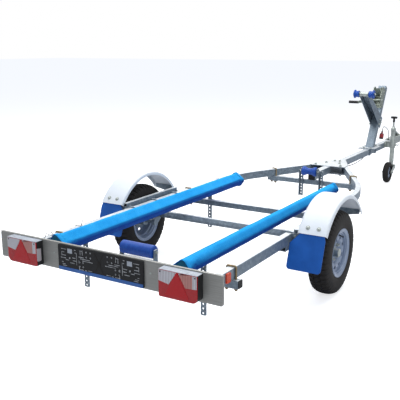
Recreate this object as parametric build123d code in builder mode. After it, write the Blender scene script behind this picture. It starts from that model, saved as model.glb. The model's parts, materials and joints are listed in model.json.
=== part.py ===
"""Single-axle boat trailer with keel rollers, carpeted bunks, winch post and jockey wheel.

Millimetres. +X right, +Y forwards to the coupling, +Z up, floor at Z = 0. A station is a
distance forwards from the rear face of the light board, and at() turns it into a Y value.
"""
from build123d import *
import os
from math import acos, atan2, cos, degrees, hypot, radians, sin, tan

os.makedirs("parts", exist_ok=True)

# Side rails: rectangular tube, straight at the rear and bent inwards to the drawbar
rail_width = 40
rail_height = 60
tube_wall = 3
tube_corner = 4
rail_offset = 557
frame_top = 420
rail_bend_start = 2020
rail_bend_radius = 1250
rail_bend_angle = 26.5
rail_straight_front = 730

# Drawbar and crossmembers
drawbar_width = 60
drawbar_rear_gap = 4
drawbar_front = 5130
cross_size = 40
cross_overhang = 27
cross_rear_station = 306
cross_mid_station = 1670
cross_front_station = 2730
cap_thickness = 4

# U-bolts and the plates under the tubes that they pull up
bolt_rod = 10
bolt_side_gap = 0.5
bolt_hole_gap = 0.5
clamp_plate = 6
clamp_margin = 7
thread_length = 14

# Nose plates above and below the joint of rails and drawbar
nose_plate = 5
nose_rear = 3060
nose_front_run = 260
nose_rear_half = 160
nose_wide_run = 120
nose_wide_half = 152
nose_front_half = 40

# Axle, its rails, trailing arms and stubs
axle_station = 1270
beam_station = 1335
beam_flats = 44
beam_half = 572
axle_rail_rear = 900
axle_rail_front = 1560
axle_rail_height = 30
axle_clamp_stations = (985, 1235, 1485)
axle_plate = 8
axle_plate_width = 54
axle_plate_length = 150
arm_thickness = 22
arm_beam_radius = 21
arm_stub_radius = 24
stub_radius = 15
bearing_gap = 0.05

# Wheels
tyre_radius = 254
tyre_width = 130
tyre_crown_width = 104
wheel_offset = 711
bead_radius = 127
rim_flange_radius = 145
rim_half = 56
rim_wall = 4
rim_seat = 12
hub_radius = 34
hub_inner_length = 54
hub_flange_radius = 58
hub_flange = 10
hub_cap_radius = 25
hub_cap_length = 34
vent_count = 8
vent_circle = 97
vent_radius = 10

# Mudguards, their stays and the flaps
guard_radius = 386
guard_half_length = 318
guard_top = 604
guard_inner = 618
guard_width = 172
guard_wall = 3
guard_lip = 24
guard_edge_radius = 12
stay_thickness = 5
seat_gap = 0.3
stay_height = 30
flap_thickness = 4
flap_slant = 19
flap_width = 203
flap_height = 216
flap_inner = 583
flap_top_corner = 34
flap_corner = 20
guard_angle_inner = 590
guard_angle_width = 26
guard_angle_height = 46
guard_angle_wall = 4
guard_angle_top = 446

# Bunks: carpeted pads on bearers that stand on slotted uprights
bunk_offset = 385
bunk_width = 102
bunk_height = 70
bunk_middle = 430
bunk_tilt = 38
bunk_rear = 120
bunk_front = 2120
bunk_corner = 20
upright_width = 30
upright_depth = 26
upright_wall = 4
upright_hole = 12
upright_pitch = 25
rear_upright_bottom = 122
mid_upright_bottom = 142

# Keel rollers
keel_rear_length = 205
keel_front_length = 122
keel_rear_station = 308
keel_rear_height = 415
keel_rear_radius = 35
keel_front_gap = 8
keel_front_height = 441
keel_front_radius = 38
keel_waist_radius = 26
keel_pin_radius = 8
roller_side_gap = 5
bracket_wall = 5
roller_bore_gap = 0.1
front_upright_bottom = 222
front_upright_width = 32
front_upright_depth = 26
ear_half_height = 24

# Light board, number plate holder and lamps
board_width = 1365
board_height = 140
board_thickness = 12
board_top = 490
holder_width = 530
holder_height = 134
holder_thickness = 8
holder_rim = 12
holder_brace = 10
lamp_width = 205
lamp_height = 130
lamp_base_depth = 28
lamp_lens_depth = 24
lamp_offset = 480
reflector_width = 42
reflector_height = 50
reflector_thickness = 7
reflector_station = 232

# Winch post
post_width = 80
post_depth = 60
post_wall = 4
post_station = 4315
post_top_station = 4655
post_top_height = 1024
post_plate = 8
post_plate_width = 170
post_plate_length = 250
post_clamp_half_span = 92

# Snubber arm and bow rollers
snubber_station = 4023
snubber_height = 988
snubber_wall = 4
snubber_root_height = 690
snubber_root_depth = 120
snubber_tip_depth = 46
bow_roller_radius = 41
bow_waist_radius = 30
bow_roller_length = 50
bow_pin_radius = 8
bow_gap = 5

# Winch
winch_base = 5
winch_wall = 4
winch_half = 42
winch_depth = 128
winch_low = 430
winch_high = 632
drum_along = 565
drum_off = 92
drum_core_radius = 26
drum_flange_radius = 52
drum_flange = 3
drum_side_gap = 5
crank_along = 478
crank_off = 92
crank_shaft_radius = 9
crank_reach = 155
crank_drop_angle = 7
crank_hub_length = 20
crank_bar_width = 25
crank_bar_thickness = 6
crank_grip_length = 96
crank_grip_radius = 14
crank_outset = 88
shaft_gap = 0.1

# Jockey wheel
jockey_offset = 105
jockey_station = 4790
jockey_tube_radius = 24
jockey_tube_wall = 3
jockey_tube_top = 575
jockey_tube_bottom = 206
jockey_leg_radius = 20
jockey_leg_gap = 0.8
jockey_leg_bottom = 180
jockey_leg_top = 520
jockey_clamp_low = 366
jockey_clamp_high = 430
jockey_clamp_wall = 6
jockey_clamp_gap = 0.3
jockey_wheel_radius = 112
jockey_wheel_width = 68
jockey_trail = 128
jockey_fork_wall = 5
jockey_fork_gap = 6
jockey_pin_radius = 7
jockey_handle_rise = 75
jockey_handle_length = 62
jockey_handle_radius = 10

# Coupling head for a 50 mm ball
ball_socket_radius = 25.2
socket_depth = 34
coupling_rear = 5000
coupling_reach = 318
coupling_nose_radius = 40
coupling_wall = 5
coupling_low = 354
coupling_high = 432
coupling_handle_width = 34
coupling_handle_rise = 62

# Cables: X, station and height of each point of a route
cable_gap = 0.9
tow_cable_size = 7
tow_cable_route = (
    (8, 4965, 436), (10, 4963, 478), (18, 4925, 522), (26, 4850, 556), (31, 4765, 584),
    (34, 4695, 600), (36, 4640, 604), (38, 4608, 584), (38, 4597, 553),
)
drawbar_cable_size = 8
drawbar_cable_route = (
    (20, 3465, 372), (20, 3525, 352), (20, 3615, 341), (20, 3725, 336), (20, 3840, 337),
    (20, 3950, 343), (20, 4045, 354), (20, 4100, 372),
)
gland_radius = 9
plug_neck_radius = 10
plug_neck = 18
plug_radius = 21
plug_length = 72

# Derived places
jockey_handle_height = jockey_tube_top + jockey_handle_rise
lamp_depth = lamp_base_depth + lamp_lens_depth
coupling_tip = drawbar_front + coupling_reach
overall_length = coupling_tip + lamp_depth
tail_y = -overall_length / 2 + lamp_depth
rail_bottom = frame_top - rail_height
drawbar_rear = cross_front_station - cross_size / 2 + drawbar_rear_gap
rail_middle = frame_top - rail_height / 2
cross_bottom = rail_bottom - cross_size
keel_front_station = drawbar_rear - cap_thickness - keel_front_gap - keel_front_radius
cross_middle = rail_bottom - cross_size / 2
bend_end_station = rail_bend_start + rail_bend_radius * sin(radians(rail_bend_angle))
bend_end_offset = rail_offset - rail_bend_radius * (1 - cos(radians(rail_bend_angle)))
guard_centre = guard_top - guard_radius
guard_start = degrees(acos(guard_half_length / guard_radius))
axle_rail_bottom = rail_bottom - axle_rail_height
beam_height = axle_rail_bottom - axle_plate - beam_flats / 2
sides = (("left", -1), ("right", 1))


def at(station):
    """Y value of a station."""
    return tail_y + station


def rail_offset_at(station):
    """Centre line of the right rail: its X value and its heading inwards, in degrees."""
    if station <= rail_bend_start:
        return rail_offset, 0
    if station <= bend_end_station:
        run = (station - rail_bend_start) / rail_bend_radius
        heading = degrees(atan2(run, (1 - run * run) ** 0.5))
        return rail_offset - rail_bend_radius * (1 - cos(radians(heading))), heading
    return bend_end_offset - (station - bend_end_station) * tan(radians(rail_bend_angle)), rail_bend_angle


def across(station):
    """Plane across the trailer at a station: local x is X, local y is Z, normal is -Y."""
    return Plane.XZ.offset(-at(station))


def along(x):
    """Plane along the trailer at one X value: local x is Y, local y is Z, normal is +X."""
    return Plane.YZ.offset(x)


def save(piece, label):
    """Label one finished piece and write its STEP file."""
    piece.part.label = label
    export_step(piece.part, f"parts/{label}.step")


def cross_tube(station, half_length, size, bottom, wall):
    """Square tube across the trailer."""
    with BuildPart() as tube:
        with BuildSketch(along(-half_length)):
            with Locations((at(station), bottom + size / 2)):
                RectangleRounded(size, size, tube_corner)
                RectangleRounded(size - 2 * wall, size - 2 * wall, tube_corner - wall, mode=Mode.SUBTRACT)
        extrude(amount=2 * half_length)
    return tube.part


def long_tube(x, rear, front, width, height, bottom, wall):
    """Rectangular tube along the trailer."""
    with BuildPart() as tube:
        with BuildSketch(across(rear)):
            with Locations((x, bottom + height / 2)):
                RectangleRounded(width, height, tube_corner)
                RectangleRounded(width - 2 * wall, height - 2 * wall, tube_corner - wall, mode=Mode.SUBTRACT)
        extrude(amount=-(front - rear))
    return tube.part


def u_bolt(x, station, heading, inner_width, top, bottom):
    """Round rod bent over a tube, with both legs down; heading turns it about Z."""
    leg = inner_width / 2 + bolt_side_gap + bolt_rod / 2
    bend = tube_corner + bolt_rod / 2
    plane = Plane(origin=(x, at(station), 0), x_dir=(1, 0, 0), z_dir=(0, -1, 0)).rotated((0, 0, heading))
    crown = top + bolt_rod / 2
    with BuildPart() as rod:
        with BuildLine(plane) as path:
            FilletPolyline((-leg, bottom), (-leg, crown), (leg, crown), (leg, bottom), radius=bend)
        with BuildSketch(Plane(origin=path.line @ 0, z_dir=path.line % 0)):
            Circle(bolt_rod / 2)
        sweep(path=path.line)
    return rod.part


def clamp_under(x, station, heading, leg, top):
    """Flat plate with two holes, pulled up by one U-bolt."""
    plane = Plane(origin=(x, at(station), top), x_dir=(1, 0, 0), z_dir=(0, 0, -1)).rotated((0, 0, heading))
    with BuildPart() as plate:
        with BuildSketch(plane):
            RectangleRounded(2 * (leg + clamp_margin) + bolt_rod, bolt_rod + 2 * clamp_margin, 4)
            with GridLocations(2 * leg, 1, 2, 1):
                Circle(bolt_rod / 2 + bolt_hole_gap, mode=Mode.SUBTRACT)
        extrude(amount=clamp_plate)
    return plate.part


def route_points(route):
    """Points of a cable's route in the trailer's frame."""
    return [Vector(x, at(station), height) for x, station, height in route]


def cable(name, route, size):
    """Round cable along a route, with each bend as large as its two runs allow."""
    points = route_points(route)
    radii = []
    for before, corner, after in zip(points, points[1:], points[2:]):
        first = corner - before
        second = after - corner
        half_turn = radians(first.get_angle(second)) / 2
        radii.append(0.45 * min(first.length, second.length) / tan(half_turn))
    with BuildPart() as tube:
        with BuildLine() as path:
            FilletPolyline(*points, radius=radii)
        with BuildSketch(Plane(origin=path.line @ 0, z_dir=path.line % 0)):
            Circle(size / 2)
        sweep(path=path.line)
    print(name, "radii", [round(radius) for radius in radii], "length", round(path.wires()[0].length))
    return tube.part


# Side rails
for side, sign in sides:
    with BuildPart() as rail:
        with BuildLine(Plane.XY.offset(rail_middle)) as rail_path:
            rear_run = Line((sign * rail_offset, at(board_thickness)), (sign * rail_offset, at(rail_bend_start)))
            bend = JernArc(rear_run @ 1, rear_run % 1, rail_bend_radius, sign * rail_bend_angle)
            PolarLine(bend @ 1, rail_straight_front, direction=bend % 1)
        with BuildSketch(Plane(origin=rail_path.line @ 0, x_dir=(1, 0, 0), z_dir=(0, 1, 0))):
            RectangleRounded(rail_width, rail_height, tube_corner)
            RectangleRounded(
                rail_width - 2 * tube_wall, rail_height - 2 * tube_wall, tube_corner - tube_wall, mode=Mode.SUBTRACT
            )
        sweep(path=rail_path.line)
    save(rail, f"rail_{side}")

# Drawbar
with BuildPart() as drawbar:
    add(long_tube(0, drawbar_rear, drawbar_front, drawbar_width, rail_height, rail_bottom, tube_wall))
    loop_points = route_points(drawbar_cable_route)
    for end, inner in ((0, 1), (-1, -2)):
        run = loop_points[inner] - loop_points[end]
        with BuildSketch(Plane(origin=loop_points[end], z_dir=run)):
            Circle(drawbar_cable_size / 2 + cable_gap)
        extrude(amount=run.length, mode=Mode.SUBTRACT)
save(drawbar, "drawbar")

# Crossmembers, with the length that reaches both rails
crossmembers = (
    ("crossmember_rear", cross_rear_station),
    ("crossmember_mid", cross_mid_station),
    ("crossmember_front", cross_front_station),
)


def cross_half(station):
    """Half length of a crossmember under the rails at a station."""
    offset, heading = rail_offset_at(station)
    return offset + rail_width / 2 / cos(radians(heading)) + cross_overhang


# Legs of the U-bolts that pass down through every crossmember
leg_offset = rail_width / 2 + bolt_side_gap + bolt_rod / 2
for name, station in crossmembers:
    offset, heading = rail_offset_at(station)
    slope = radians(heading)
    with BuildPart() as member:
        add(cross_tube(station, cross_half(station), cross_size, cross_bottom, tube_wall))
        for side, sign in sides:
            for step in (-leg_offset, leg_offset):
                with BuildSketch(Plane.XY.offset(cross_bottom)):
                    with Locations((sign * (offset + step * cos(slope)), at(station + step * sin(slope)))):
                        Circle(bolt_rod / 2 + bolt_hole_gap)
                extrude(amount=cross_size, mode=Mode.SUBTRACT)
    save(member, name)

# Plastic caps on the open tube ends
with BuildPart() as end_caps:
    for name, station in crossmembers:
        for side, sign in sides:
            with BuildSketch(along(sign * cross_half(station))):
                with Locations((at(station), cross_middle)):
                    RectangleRounded(cross_size, cross_size, tube_corner)
            extrude(amount=sign * cap_thickness)
    with BuildSketch(across(drawbar_rear)):
        with Locations((0, rail_middle)):
            RectangleRounded(drawbar_width, rail_height, tube_corner)
    extrude(amount=cap_thickness)
save(end_caps, "end_caps")

# U-bolts over the rails, one through the middle of every crossmember end
bolt_bottom = cross_bottom - clamp_plate - thread_length
frame_bolts = []
frame_plates = []
for name, station in crossmembers:
    offset, heading = rail_offset_at(station)
    for side, sign in sides:
        frame_plates.append(clamp_under(sign * offset, station, sign * heading, leg_offset, cross_bottom))
        frame_bolts.append(u_bolt(sign * offset, station, sign * heading, rail_width, frame_top, bolt_bottom))
with BuildPart() as frame_u_bolts:
    add(frame_bolts)
save(frame_u_bolts, "frame_u_bolts")
with BuildPart() as frame_clamp_plates:
    add(frame_plates)
save(frame_clamp_plates, "frame_clamp_plates")

# Axle rails under the side rails, with their U-bolts
with BuildPart() as axle_rails:
    for side, sign in sides:
        rail_tube = long_tube(
            sign * rail_offset, axle_rail_rear, axle_rail_front, rail_width, axle_rail_height, axle_rail_bottom, tube_wall
        )
        add(rail_tube)
save(axle_rails, "axle_rails")
axle_bolt_bottom = axle_rail_bottom - clamp_plate - thread_length
axle_bolts = []
for station in axle_clamp_stations:
    for side, sign in sides:
        axle_bolts.append(u_bolt(sign * rail_offset, station, 0, rail_width, frame_top, axle_bolt_bottom))
        axle_bolts.append(clamp_under(sign * rail_offset, station, 0, leg_offset, axle_rail_bottom))
with BuildPart() as axle_u_bolts:
    add(axle_bolts)
save(axle_u_bolts, "axle_u_bolts")

# Nose plates
nose_wide = nose_rear + nose_wide_run
nose_front = nose_wide + nose_front_run
nose_outline = (
    (-nose_rear_half, at(nose_rear)),
    (nose_rear_half, at(nose_rear)),
    (nose_wide_half, at(nose_wide)),
    (nose_front_half, at(nose_front)),
    (-nose_front_half, at(nose_front)),
    (-nose_wide_half, at(nose_wide)),
    (-nose_rear_half, at(nose_rear)),
)
with BuildPart() as nose_plates:
    for level in (frame_top, rail_bottom - nose_plate):
        with BuildSketch(Plane.XY.offset(level)):
            with BuildLine():
                Polyline(*nose_outline)
            make_face()
            fillet(vertices(), 14)
        extrude(amount=nose_plate)
save(nose_plates, "nose_plates")

# Axle beam: hexagonal tube with the rubber suspension inside
with BuildPart() as axle_beam:
    with BuildSketch(along(-beam_half)):
        with Locations((at(beam_station), beam_height)):
            RegularPolygon(beam_flats / 2, 6, major_radius=False, rotation=0)
            RegularPolygon(beam_flats / 2 - tube_wall, 6, major_radius=False, rotation=0, mode=Mode.SUBTRACT)
    extrude(amount=2 * beam_half)
save(axle_beam, "axle_beam")

# Plates between the axle beam and the axle rails
with BuildPart() as axle_plates:
    for side, sign in sides:
        with BuildSketch(Plane.XY.offset(axle_rail_bottom)):
            with Locations((sign * rail_offset, at(beam_station))):
                Rectangle(axle_plate_width, axle_plate_length - 2 * bolt_rod)
        extrude(amount=-axle_plate)
save(axle_plates, "axle_plates")

# Trailing arms with their stub axles
for side, sign in sides:
    with BuildPart() as arm:
        with BuildSketch(along(sign * beam_half)):
            with Locations((at(beam_station), beam_height)):
                Circle(arm_beam_radius)
            with Locations((at(axle_station), tyre_radius)):
                Circle(arm_stub_radius)
            make_hull()
        extrude(amount=sign * arm_thickness)
        with BuildSketch(along(sign * (beam_half + arm_thickness))):
            with Locations((at(axle_station), tyre_radius)):
                Circle(stub_radius)
        extrude(amount=sign * (wheel_offset + rim_seat + hub_flange - beam_half - arm_thickness))
    save(arm, f"suspension_arm_{side}")

# Wheels: tyre, pressed rim and hub, each turned about the stub axle
for side, sign in sides:
    spin = Axis((0, at(axle_station), tyre_radius), (1, 0, 0))
    face = Plane(origin=(sign * wheel_offset, at(axle_station), tyre_radius), x_dir=(sign, 0, 0), z_dir=(0, -sign, 0))
    half = tyre_width / 2
    crown = tyre_crown_width / 2
    with BuildPart() as tyre:
        with BuildSketch(face):
            with BuildLine():
                Polyline((-rim_half + rim_wall, rim_flange_radius), (-rim_half + rim_wall, bead_radius),
                         (rim_half - rim_wall, bead_radius), (rim_half - rim_wall, rim_flange_radius))
                ThreePointArc((rim_half - rim_wall, rim_flange_radius), (half, 190), (crown, 241))
                ThreePointArc((crown, 241), (0, tyre_radius), (-crown, 241))
                ThreePointArc((-crown, 241), (-half, 190), (-rim_half + rim_wall, rim_flange_radius))
            make_face()
        revolve(axis=spin)
    save(tyre, f"tyre_{side}")

    with BuildPart() as rim:
        with BuildSketch(face):
            with BuildLine():
                Polyline(
                    (rim_half, rim_flange_radius), (rim_half - rim_wall, rim_flange_radius),
                    (rim_half - rim_wall, bead_radius), (-rim_half + rim_wall, bead_radius),
                    (-rim_half + rim_wall, rim_flange_radius), (-rim_half, rim_flange_radius),
                    (-rim_half, bead_radius - rim_wall), (rim_half, bead_radius - rim_wall),
                    (rim_half, rim_flange_radius),
                )
            make_face()
            with BuildLine():
                Polyline(
                    (8, bead_radius - rim_wall), (12, bead_radius - rim_wall), (36, 102), (38, 80), (34, 70),
                    (rim_seat + rim_wall, 62), (rim_seat + rim_wall, 30), (rim_seat, 30), (rim_seat, 64),
                    (30, 73), (33, 80), (31, 101), (8, bead_radius - rim_wall),
                )
            make_face()
        revolve(axis=spin)
        with BuildSketch(along(sign * (wheel_offset + rim_seat))):
            with Locations((at(axle_station), tyre_radius)):
                with PolarLocations(vent_circle, vent_count):
                    Circle(vent_radius)
        extrude(amount=sign * 40, mode=Mode.SUBTRACT)
    save(rim, f"rim_{side}")

    with BuildPart() as hub:
        with BuildSketch(face):
            with BuildLine():
                Polyline(
                    (-hub_inner_length, stub_radius + bearing_gap), (-hub_inner_length, hub_radius),
                    (rim_seat - hub_flange, hub_radius), (rim_seat - hub_flange, hub_flange_radius),
                    (rim_seat, hub_flange_radius), (rim_seat, 28), (rim_seat + 14, 28),
                    (rim_seat + 14, hub_cap_radius), (rim_seat + hub_cap_length, hub_cap_radius),
                    (rim_seat + hub_cap_length, 0), (rim_seat + hub_flange + 2, 0),
                    (rim_seat + hub_flange + 2, stub_radius + bearing_gap),
                    (-hub_inner_length, stub_radius + bearing_gap),
                )
            make_face()
        revolve(axis=spin)
    save(hub, f"hub_{side}")

# Mudguards: one skin with turned-down edges, bent round the wheel
for side, sign in sides:
    middle = sign * (guard_inner + guard_width / 2)
    pivot = (0, at(axle_station), guard_centre)
    start = radians(guard_start)
    skin_plane = Plane(origin=pivot, x_dir=(1, 0, 0), z_dir=(0, -sin(start), -cos(start)))
    with BuildPart() as guard:
        with BuildSketch(skin_plane):
            with Locations((middle, guard_radius - guard_lip)):
                RectangleRounded(guard_width, 2 * guard_lip, guard_edge_radius)
                RectangleRounded(
                    guard_width - 2 * guard_wall, 2 * guard_lip - 2 * guard_wall, guard_edge_radius - guard_wall,
                    mode=Mode.SUBTRACT,
                )
            with Locations((middle, guard_radius - 1.5 * guard_lip)):
                Rectangle(2 * guard_width, guard_lip, mode=Mode.SUBTRACT)
        revolve(axis=Axis(pivot, (-1, 0, 0)), revolution_arc=180 - 2 * guard_start)
    save(guard, f"mudguard_{side}")

# Stays that carry the mudguards from the rails, at both ends of each skin
stay_in = rail_offset + rail_width / 2
skin_inside = guard_radius - guard_wall


def guard_height(run, radius):
    """Height of a circle about the mudguard's centre, at a run from the axle."""
    return guard_centre + (radius * radius - run * run) ** 0.5


stay_runs = (-guard_half_length + 22, guard_half_length - 22)
with BuildPart() as guard_stays:
    for side, sign in sides:
        for run in stay_runs:
            outer_run = max(abs(run - stay_thickness / 2), abs(run + stay_thickness / 2))
            top = guard_height(outer_run, skin_inside) - seat_gap
            under_lip = guard_height(outer_run, guard_radius - guard_lip) - seat_gap
            inner = guard_inner + guard_wall + seat_gap
            outer = guard_inner + guard_width - guard_wall - guard_edge_radius
            with BuildSketch(across(axle_station + run - stay_thickness / 2)):
                with BuildLine():
                    Polyline(
                        (sign * stay_in, under_lip - stay_height), (sign * stay_in, under_lip),
                        (sign * inner, under_lip), (sign * (inner + guard_edge_radius), top), (sign * outer, top),
                        (sign * outer, top - stay_height), (sign * stay_in, under_lip - stay_height),
                    )
                make_face()
            extrude(amount=-stay_thickness)
        angle_low = guard_angle_top - guard_angle_height
        with BuildSketch(across(axle_station + stay_runs[0])):
            with Locations((sign * (guard_angle_inner + guard_angle_wall / 2), angle_low + guard_angle_height / 2)):
                Rectangle(guard_angle_wall, guard_angle_height)
            with Locations((sign * (guard_angle_inner + guard_angle_width / 2), guard_angle_top - guard_angle_wall / 2)):
                Rectangle(guard_angle_width, guard_angle_wall)
        extrude(amount=-(stay_runs[1] - stay_runs[0]))
save(guard_stays, "mudguard_stays")

# Mudflaps hang from the rear ends of the mudguards
flap_run = guard_half_length - 8
flap_top = guard_height(flap_run, skin_inside) - 2 * seat_gap
with BuildPart() as mudflaps:
    slant = radians(flap_slant)
    for side, sign in sides:
        sheet = Plane(
            origin=(0, at(axle_station - flap_run), flap_top),
            x_dir=(1, 0, 0), z_dir=(0, -cos(slant), sin(slant)),
        )
        outer = flap_inner + flap_width
        top_in = guard_inner + guard_edge_radius + guard_wall
        top_out = guard_inner + guard_width - guard_edge_radius - guard_wall
        with BuildSketch(sheet):
            with BuildLine():
                Polyline(
                    (sign * top_in, 0), (sign * top_out, 0), (sign * outer, -flap_top_corner),
                    (sign * outer, -flap_height), (sign * flap_inner, -flap_height),
                    (sign * flap_inner, -2 * flap_top_corner), (sign * top_in, -guard_edge_radius), (sign * top_in, 0),
                )
            make_face()
            fillet(vertices().group_by(Axis.Y)[0], flap_corner)
        extrude(amount=-flap_thickness)
save(mudflaps, "mudflaps")

# Bunk pads, tilted so that they lie against the hull
for side, sign in sides:
    with BuildPart() as pad:
        with BuildSketch(across(bunk_rear)):
            with Locations((sign * bunk_offset, bunk_middle)):
                RectangleRounded(bunk_width, bunk_height, bunk_corner, rotation=sign * bunk_tilt)
        extrude(amount=-(bunk_front - bunk_rear))
    save(pad, f"bunk_pad_{side}")

# Uprights that carry the bunks: slotted channels on the front faces of the crossmembers
upright_rows = (
    (cross_rear_station, rear_upright_bottom),
    (cross_mid_station, mid_upright_bottom),
)
with BuildPart() as bunk_uprights:
    for side, sign in sides:
        for station, bottom in upright_rows:
            web = station + cross_size / 2
            height = bunk_middle - bottom
            with BuildSketch(Plane.XY.offset(bottom)):
                with Locations((sign * bunk_offset, at(web + upright_depth / 2))):
                    Rectangle(upright_width, upright_depth)
                with Locations((sign * bunk_offset, at(web + upright_depth / 2 + upright_wall))):
                    Rectangle(upright_width - 2 * upright_wall, upright_depth, mode=Mode.SUBTRACT)
            extrude(amount=height)
            with BuildSketch(across(web)):
                with Locations((sign * bunk_offset, bottom + height / 2)):
                    with GridLocations(1, upright_pitch, 1, int(height / upright_pitch) - 1):
                        Circle(upright_hole / 2)
            extrude(amount=-upright_wall, mode=Mode.SUBTRACT)
            with BuildSketch(across(web - upright_wall)):
                with Locations((sign * bunk_offset, bunk_middle)):
                    Rectangle(2 * bunk_width, bunk_height + 2 * seat_gap, rotation=sign * bunk_tilt)
            extrude(amount=-(upright_depth + 2 * upright_wall), mode=Mode.SUBTRACT)
save(bunk_uprights, "bunk_uprights")


def roller(station, height, x_profile, pin_radius):
    """Roller turned about an X axis; the profile lists x and radius pairs from left to right."""
    start = x_profile[0][0]
    end = x_profile[-1][0]
    hole = pin_radius + roller_bore_gap
    with BuildPart() as body:
        with BuildSketch(Plane(origin=(0, at(station), height), x_dir=(1, 0, 0), z_dir=(0, -1, 0))):
            with BuildLine():
                Polyline((start, hole), *x_profile, (end, hole), (start, hole))
            make_face()
        revolve(axis=Axis((0, at(station), height), (1, 0, 0)))
    return body.part


roller_half = keel_rear_length / 2
rear_profile = (
    (-roller_half, keel_rear_radius - 3), (-roller_half + 4, keel_rear_radius),
    (roller_half - 4, keel_rear_radius), (roller_half, keel_rear_radius - 3),
)
with BuildPart() as keel_roller_rear:
    add(roller(keel_rear_station, keel_rear_height, rear_profile, keel_pin_radius))
save(keel_roller_rear, "keel_roller_rear")

front_half = keel_front_length / 2
front_profile = (
    (-front_half, keel_front_radius - 5), (-front_half + 6, keel_front_radius),
    (-front_half + 18, keel_front_radius), (-front_half + 44, keel_waist_radius),
    (front_half - 44, keel_waist_radius), (front_half - 18, keel_front_radius),
    (front_half - 6, keel_front_radius), (front_half, keel_front_radius - 5),
)
with BuildPart() as keel_roller_front:
    add(roller(keel_front_station, keel_front_height, front_profile, keel_pin_radius))
save(keel_roller_front, "keel_roller_front")

# Bracket of the rear keel roller: cheeks, pin and a foot on the rear crossmember
cheek_in = roller_half + roller_side_gap
with BuildPart() as rear_roller_bracket:
    for side, sign in sides:
        with BuildSketch(along(sign * cheek_in)):
            with BuildLine():
                Polyline(
                    (at(cross_rear_station - 18), rail_bottom), (at(cross_rear_station + 18), rail_bottom),
                    (at(keel_rear_station + 14), keel_rear_height + 14), (at(keel_rear_station - 14), keel_rear_height + 14),
                    (at(cross_rear_station - 18), rail_bottom),
                )
            make_face()
        extrude(amount=sign * bracket_wall)
    with BuildSketch(along(-cheek_in)):
        with Locations((at(keel_rear_station), keel_rear_height)):
            Circle(keel_pin_radius)
    extrude(amount=2 * cheek_in)
    with BuildSketch(Plane.XY.offset(rail_bottom)):
        with Locations((0, at(cross_rear_station))):
            Rectangle(2 * cheek_in, cross_size - 4)
    extrude(amount=bracket_wall)
save(rear_roller_bracket, "rear_roller_bracket")

# Front keel roller: perforated uprights on the rear face of the front crossmember, ears and pin
front_face = cross_front_station - cross_size / 2
ear_in = front_half + roller_side_gap
with BuildPart() as front_roller_bracket:
    for side, sign in sides:
        centre = sign * (ear_in + bracket_wall + front_upright_width / 2)
        height = keel_front_height - front_upright_bottom
        with BuildSketch(Plane.XY.offset(front_upright_bottom)):
            with Locations((centre, at(front_face - front_upright_depth / 2))):
                Rectangle(front_upright_width, front_upright_depth)
            with Locations((centre, at(front_face - front_upright_depth / 2 - upright_wall))):
                Rectangle(front_upright_width - 2 * upright_wall, front_upright_depth, mode=Mode.SUBTRACT)
        extrude(amount=height)
        with BuildSketch(across(front_face)):
            with Locations((centre, front_upright_bottom + height / 2)):
                with GridLocations(1, upright_pitch, 1, int(height / upright_pitch)):
                    Circle(upright_hole / 2)
        extrude(amount=upright_wall, mode=Mode.SUBTRACT)
        ear_front = front_face - seat_gap
        with BuildSketch(along(sign * ear_in)):
            with BuildLine():
                Polyline(
                    (at(ear_front), keel_front_height - 2 * ear_half_height), (at(ear_front), keel_front_height),
                    (at(keel_front_station + 18), keel_front_height + ear_half_height),
                    (at(keel_front_station - 18), keel_front_height + ear_half_height),
                    (at(keel_front_station - 18), keel_front_height - ear_half_height),
                    (at(ear_front), keel_front_height - 2 * ear_half_height),
                )
            make_face()
        extrude(amount=sign * bracket_wall)
    with BuildSketch(along(-ear_in)):
        with Locations((at(keel_front_station), keel_front_height)):
            Circle(keel_pin_radius)
    extrude(amount=2 * ear_in)
save(front_roller_bracket, "front_roller_bracket")

# Light board, number plate holder and lamps
board_middle = board_top - board_height / 2
with BuildPart() as light_board:
    with BuildSketch(across(0)):
        with Locations((0, board_middle)):
            RectangleRounded(board_width, board_height, 10)
    extrude(amount=-board_thickness)
save(light_board, "light_board")

with BuildPart() as plate_holder:
    with BuildSketch(across(0)):
        with Locations((0, board_middle)):
            RectangleRounded(holder_width, holder_height, 8)
            RectangleRounded(holder_width - 2 * holder_rim, holder_height - 2 * holder_rim, 4, mode=Mode.SUBTRACT)
            rise = degrees(atan2(holder_height - holder_rim, holder_width - holder_rim))
            for turn in (rise, -rise):
                Rectangle(holder_width - holder_rim, holder_brace, rotation=turn)
            Circle(holder_height / 4)
            Circle(holder_height / 4 - holder_brace, mode=Mode.SUBTRACT)
    extrude(amount=holder_thickness)
save(plate_holder, "plate_holder")

lamp_layers = (
    ("lamp_housings", 0, lamp_base_depth, 12),
    ("lamp_lenses", lamp_base_depth, lamp_lens_depth, 12),
)
for name, start, depth, corner in lamp_layers:
    with BuildPart() as layer:
        for side, sign in sides:
            with BuildSketch(across(-start)):
                with Locations((sign * lamp_offset, board_middle)):
                    RectangleRounded(lamp_width, lamp_height, corner)
            extrude(amount=depth)
    save(layer, name)

with BuildPart() as side_reflectors:
    for side, sign in sides:
        with BuildSketch(along(sign * (rail_offset + rail_width / 2))):
            with Locations((at(reflector_station), rail_middle)):
                RectangleRounded(reflector_width, reflector_height, 8)
        extrude(amount=sign * reflector_thickness)
save(side_reflectors, "side_reflectors")

# Winch post: leaning tube on a base plate
post_foot = frame_top + post_plate
lean = atan2(post_top_station - post_station, post_top_height - post_foot)
post_length = hypot(post_top_station - post_station, post_top_height - post_foot)


def post_point(length, off):
    """Station and height of a point along the post and off its rear side."""
    return (
        post_station + length * sin(lean) - off * cos(lean),
        post_foot + length * cos(lean) + off * sin(lean),
    )


def post_plane(length, off, x):
    """Plane across the X axis with its local x up the post and local y off its rear side."""
    station, height = post_point(length, off)
    return Plane(origin=(x, at(station), height), x_dir=(0, sin(lean), cos(lean)), z_dir=(1, 0, 0))


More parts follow.
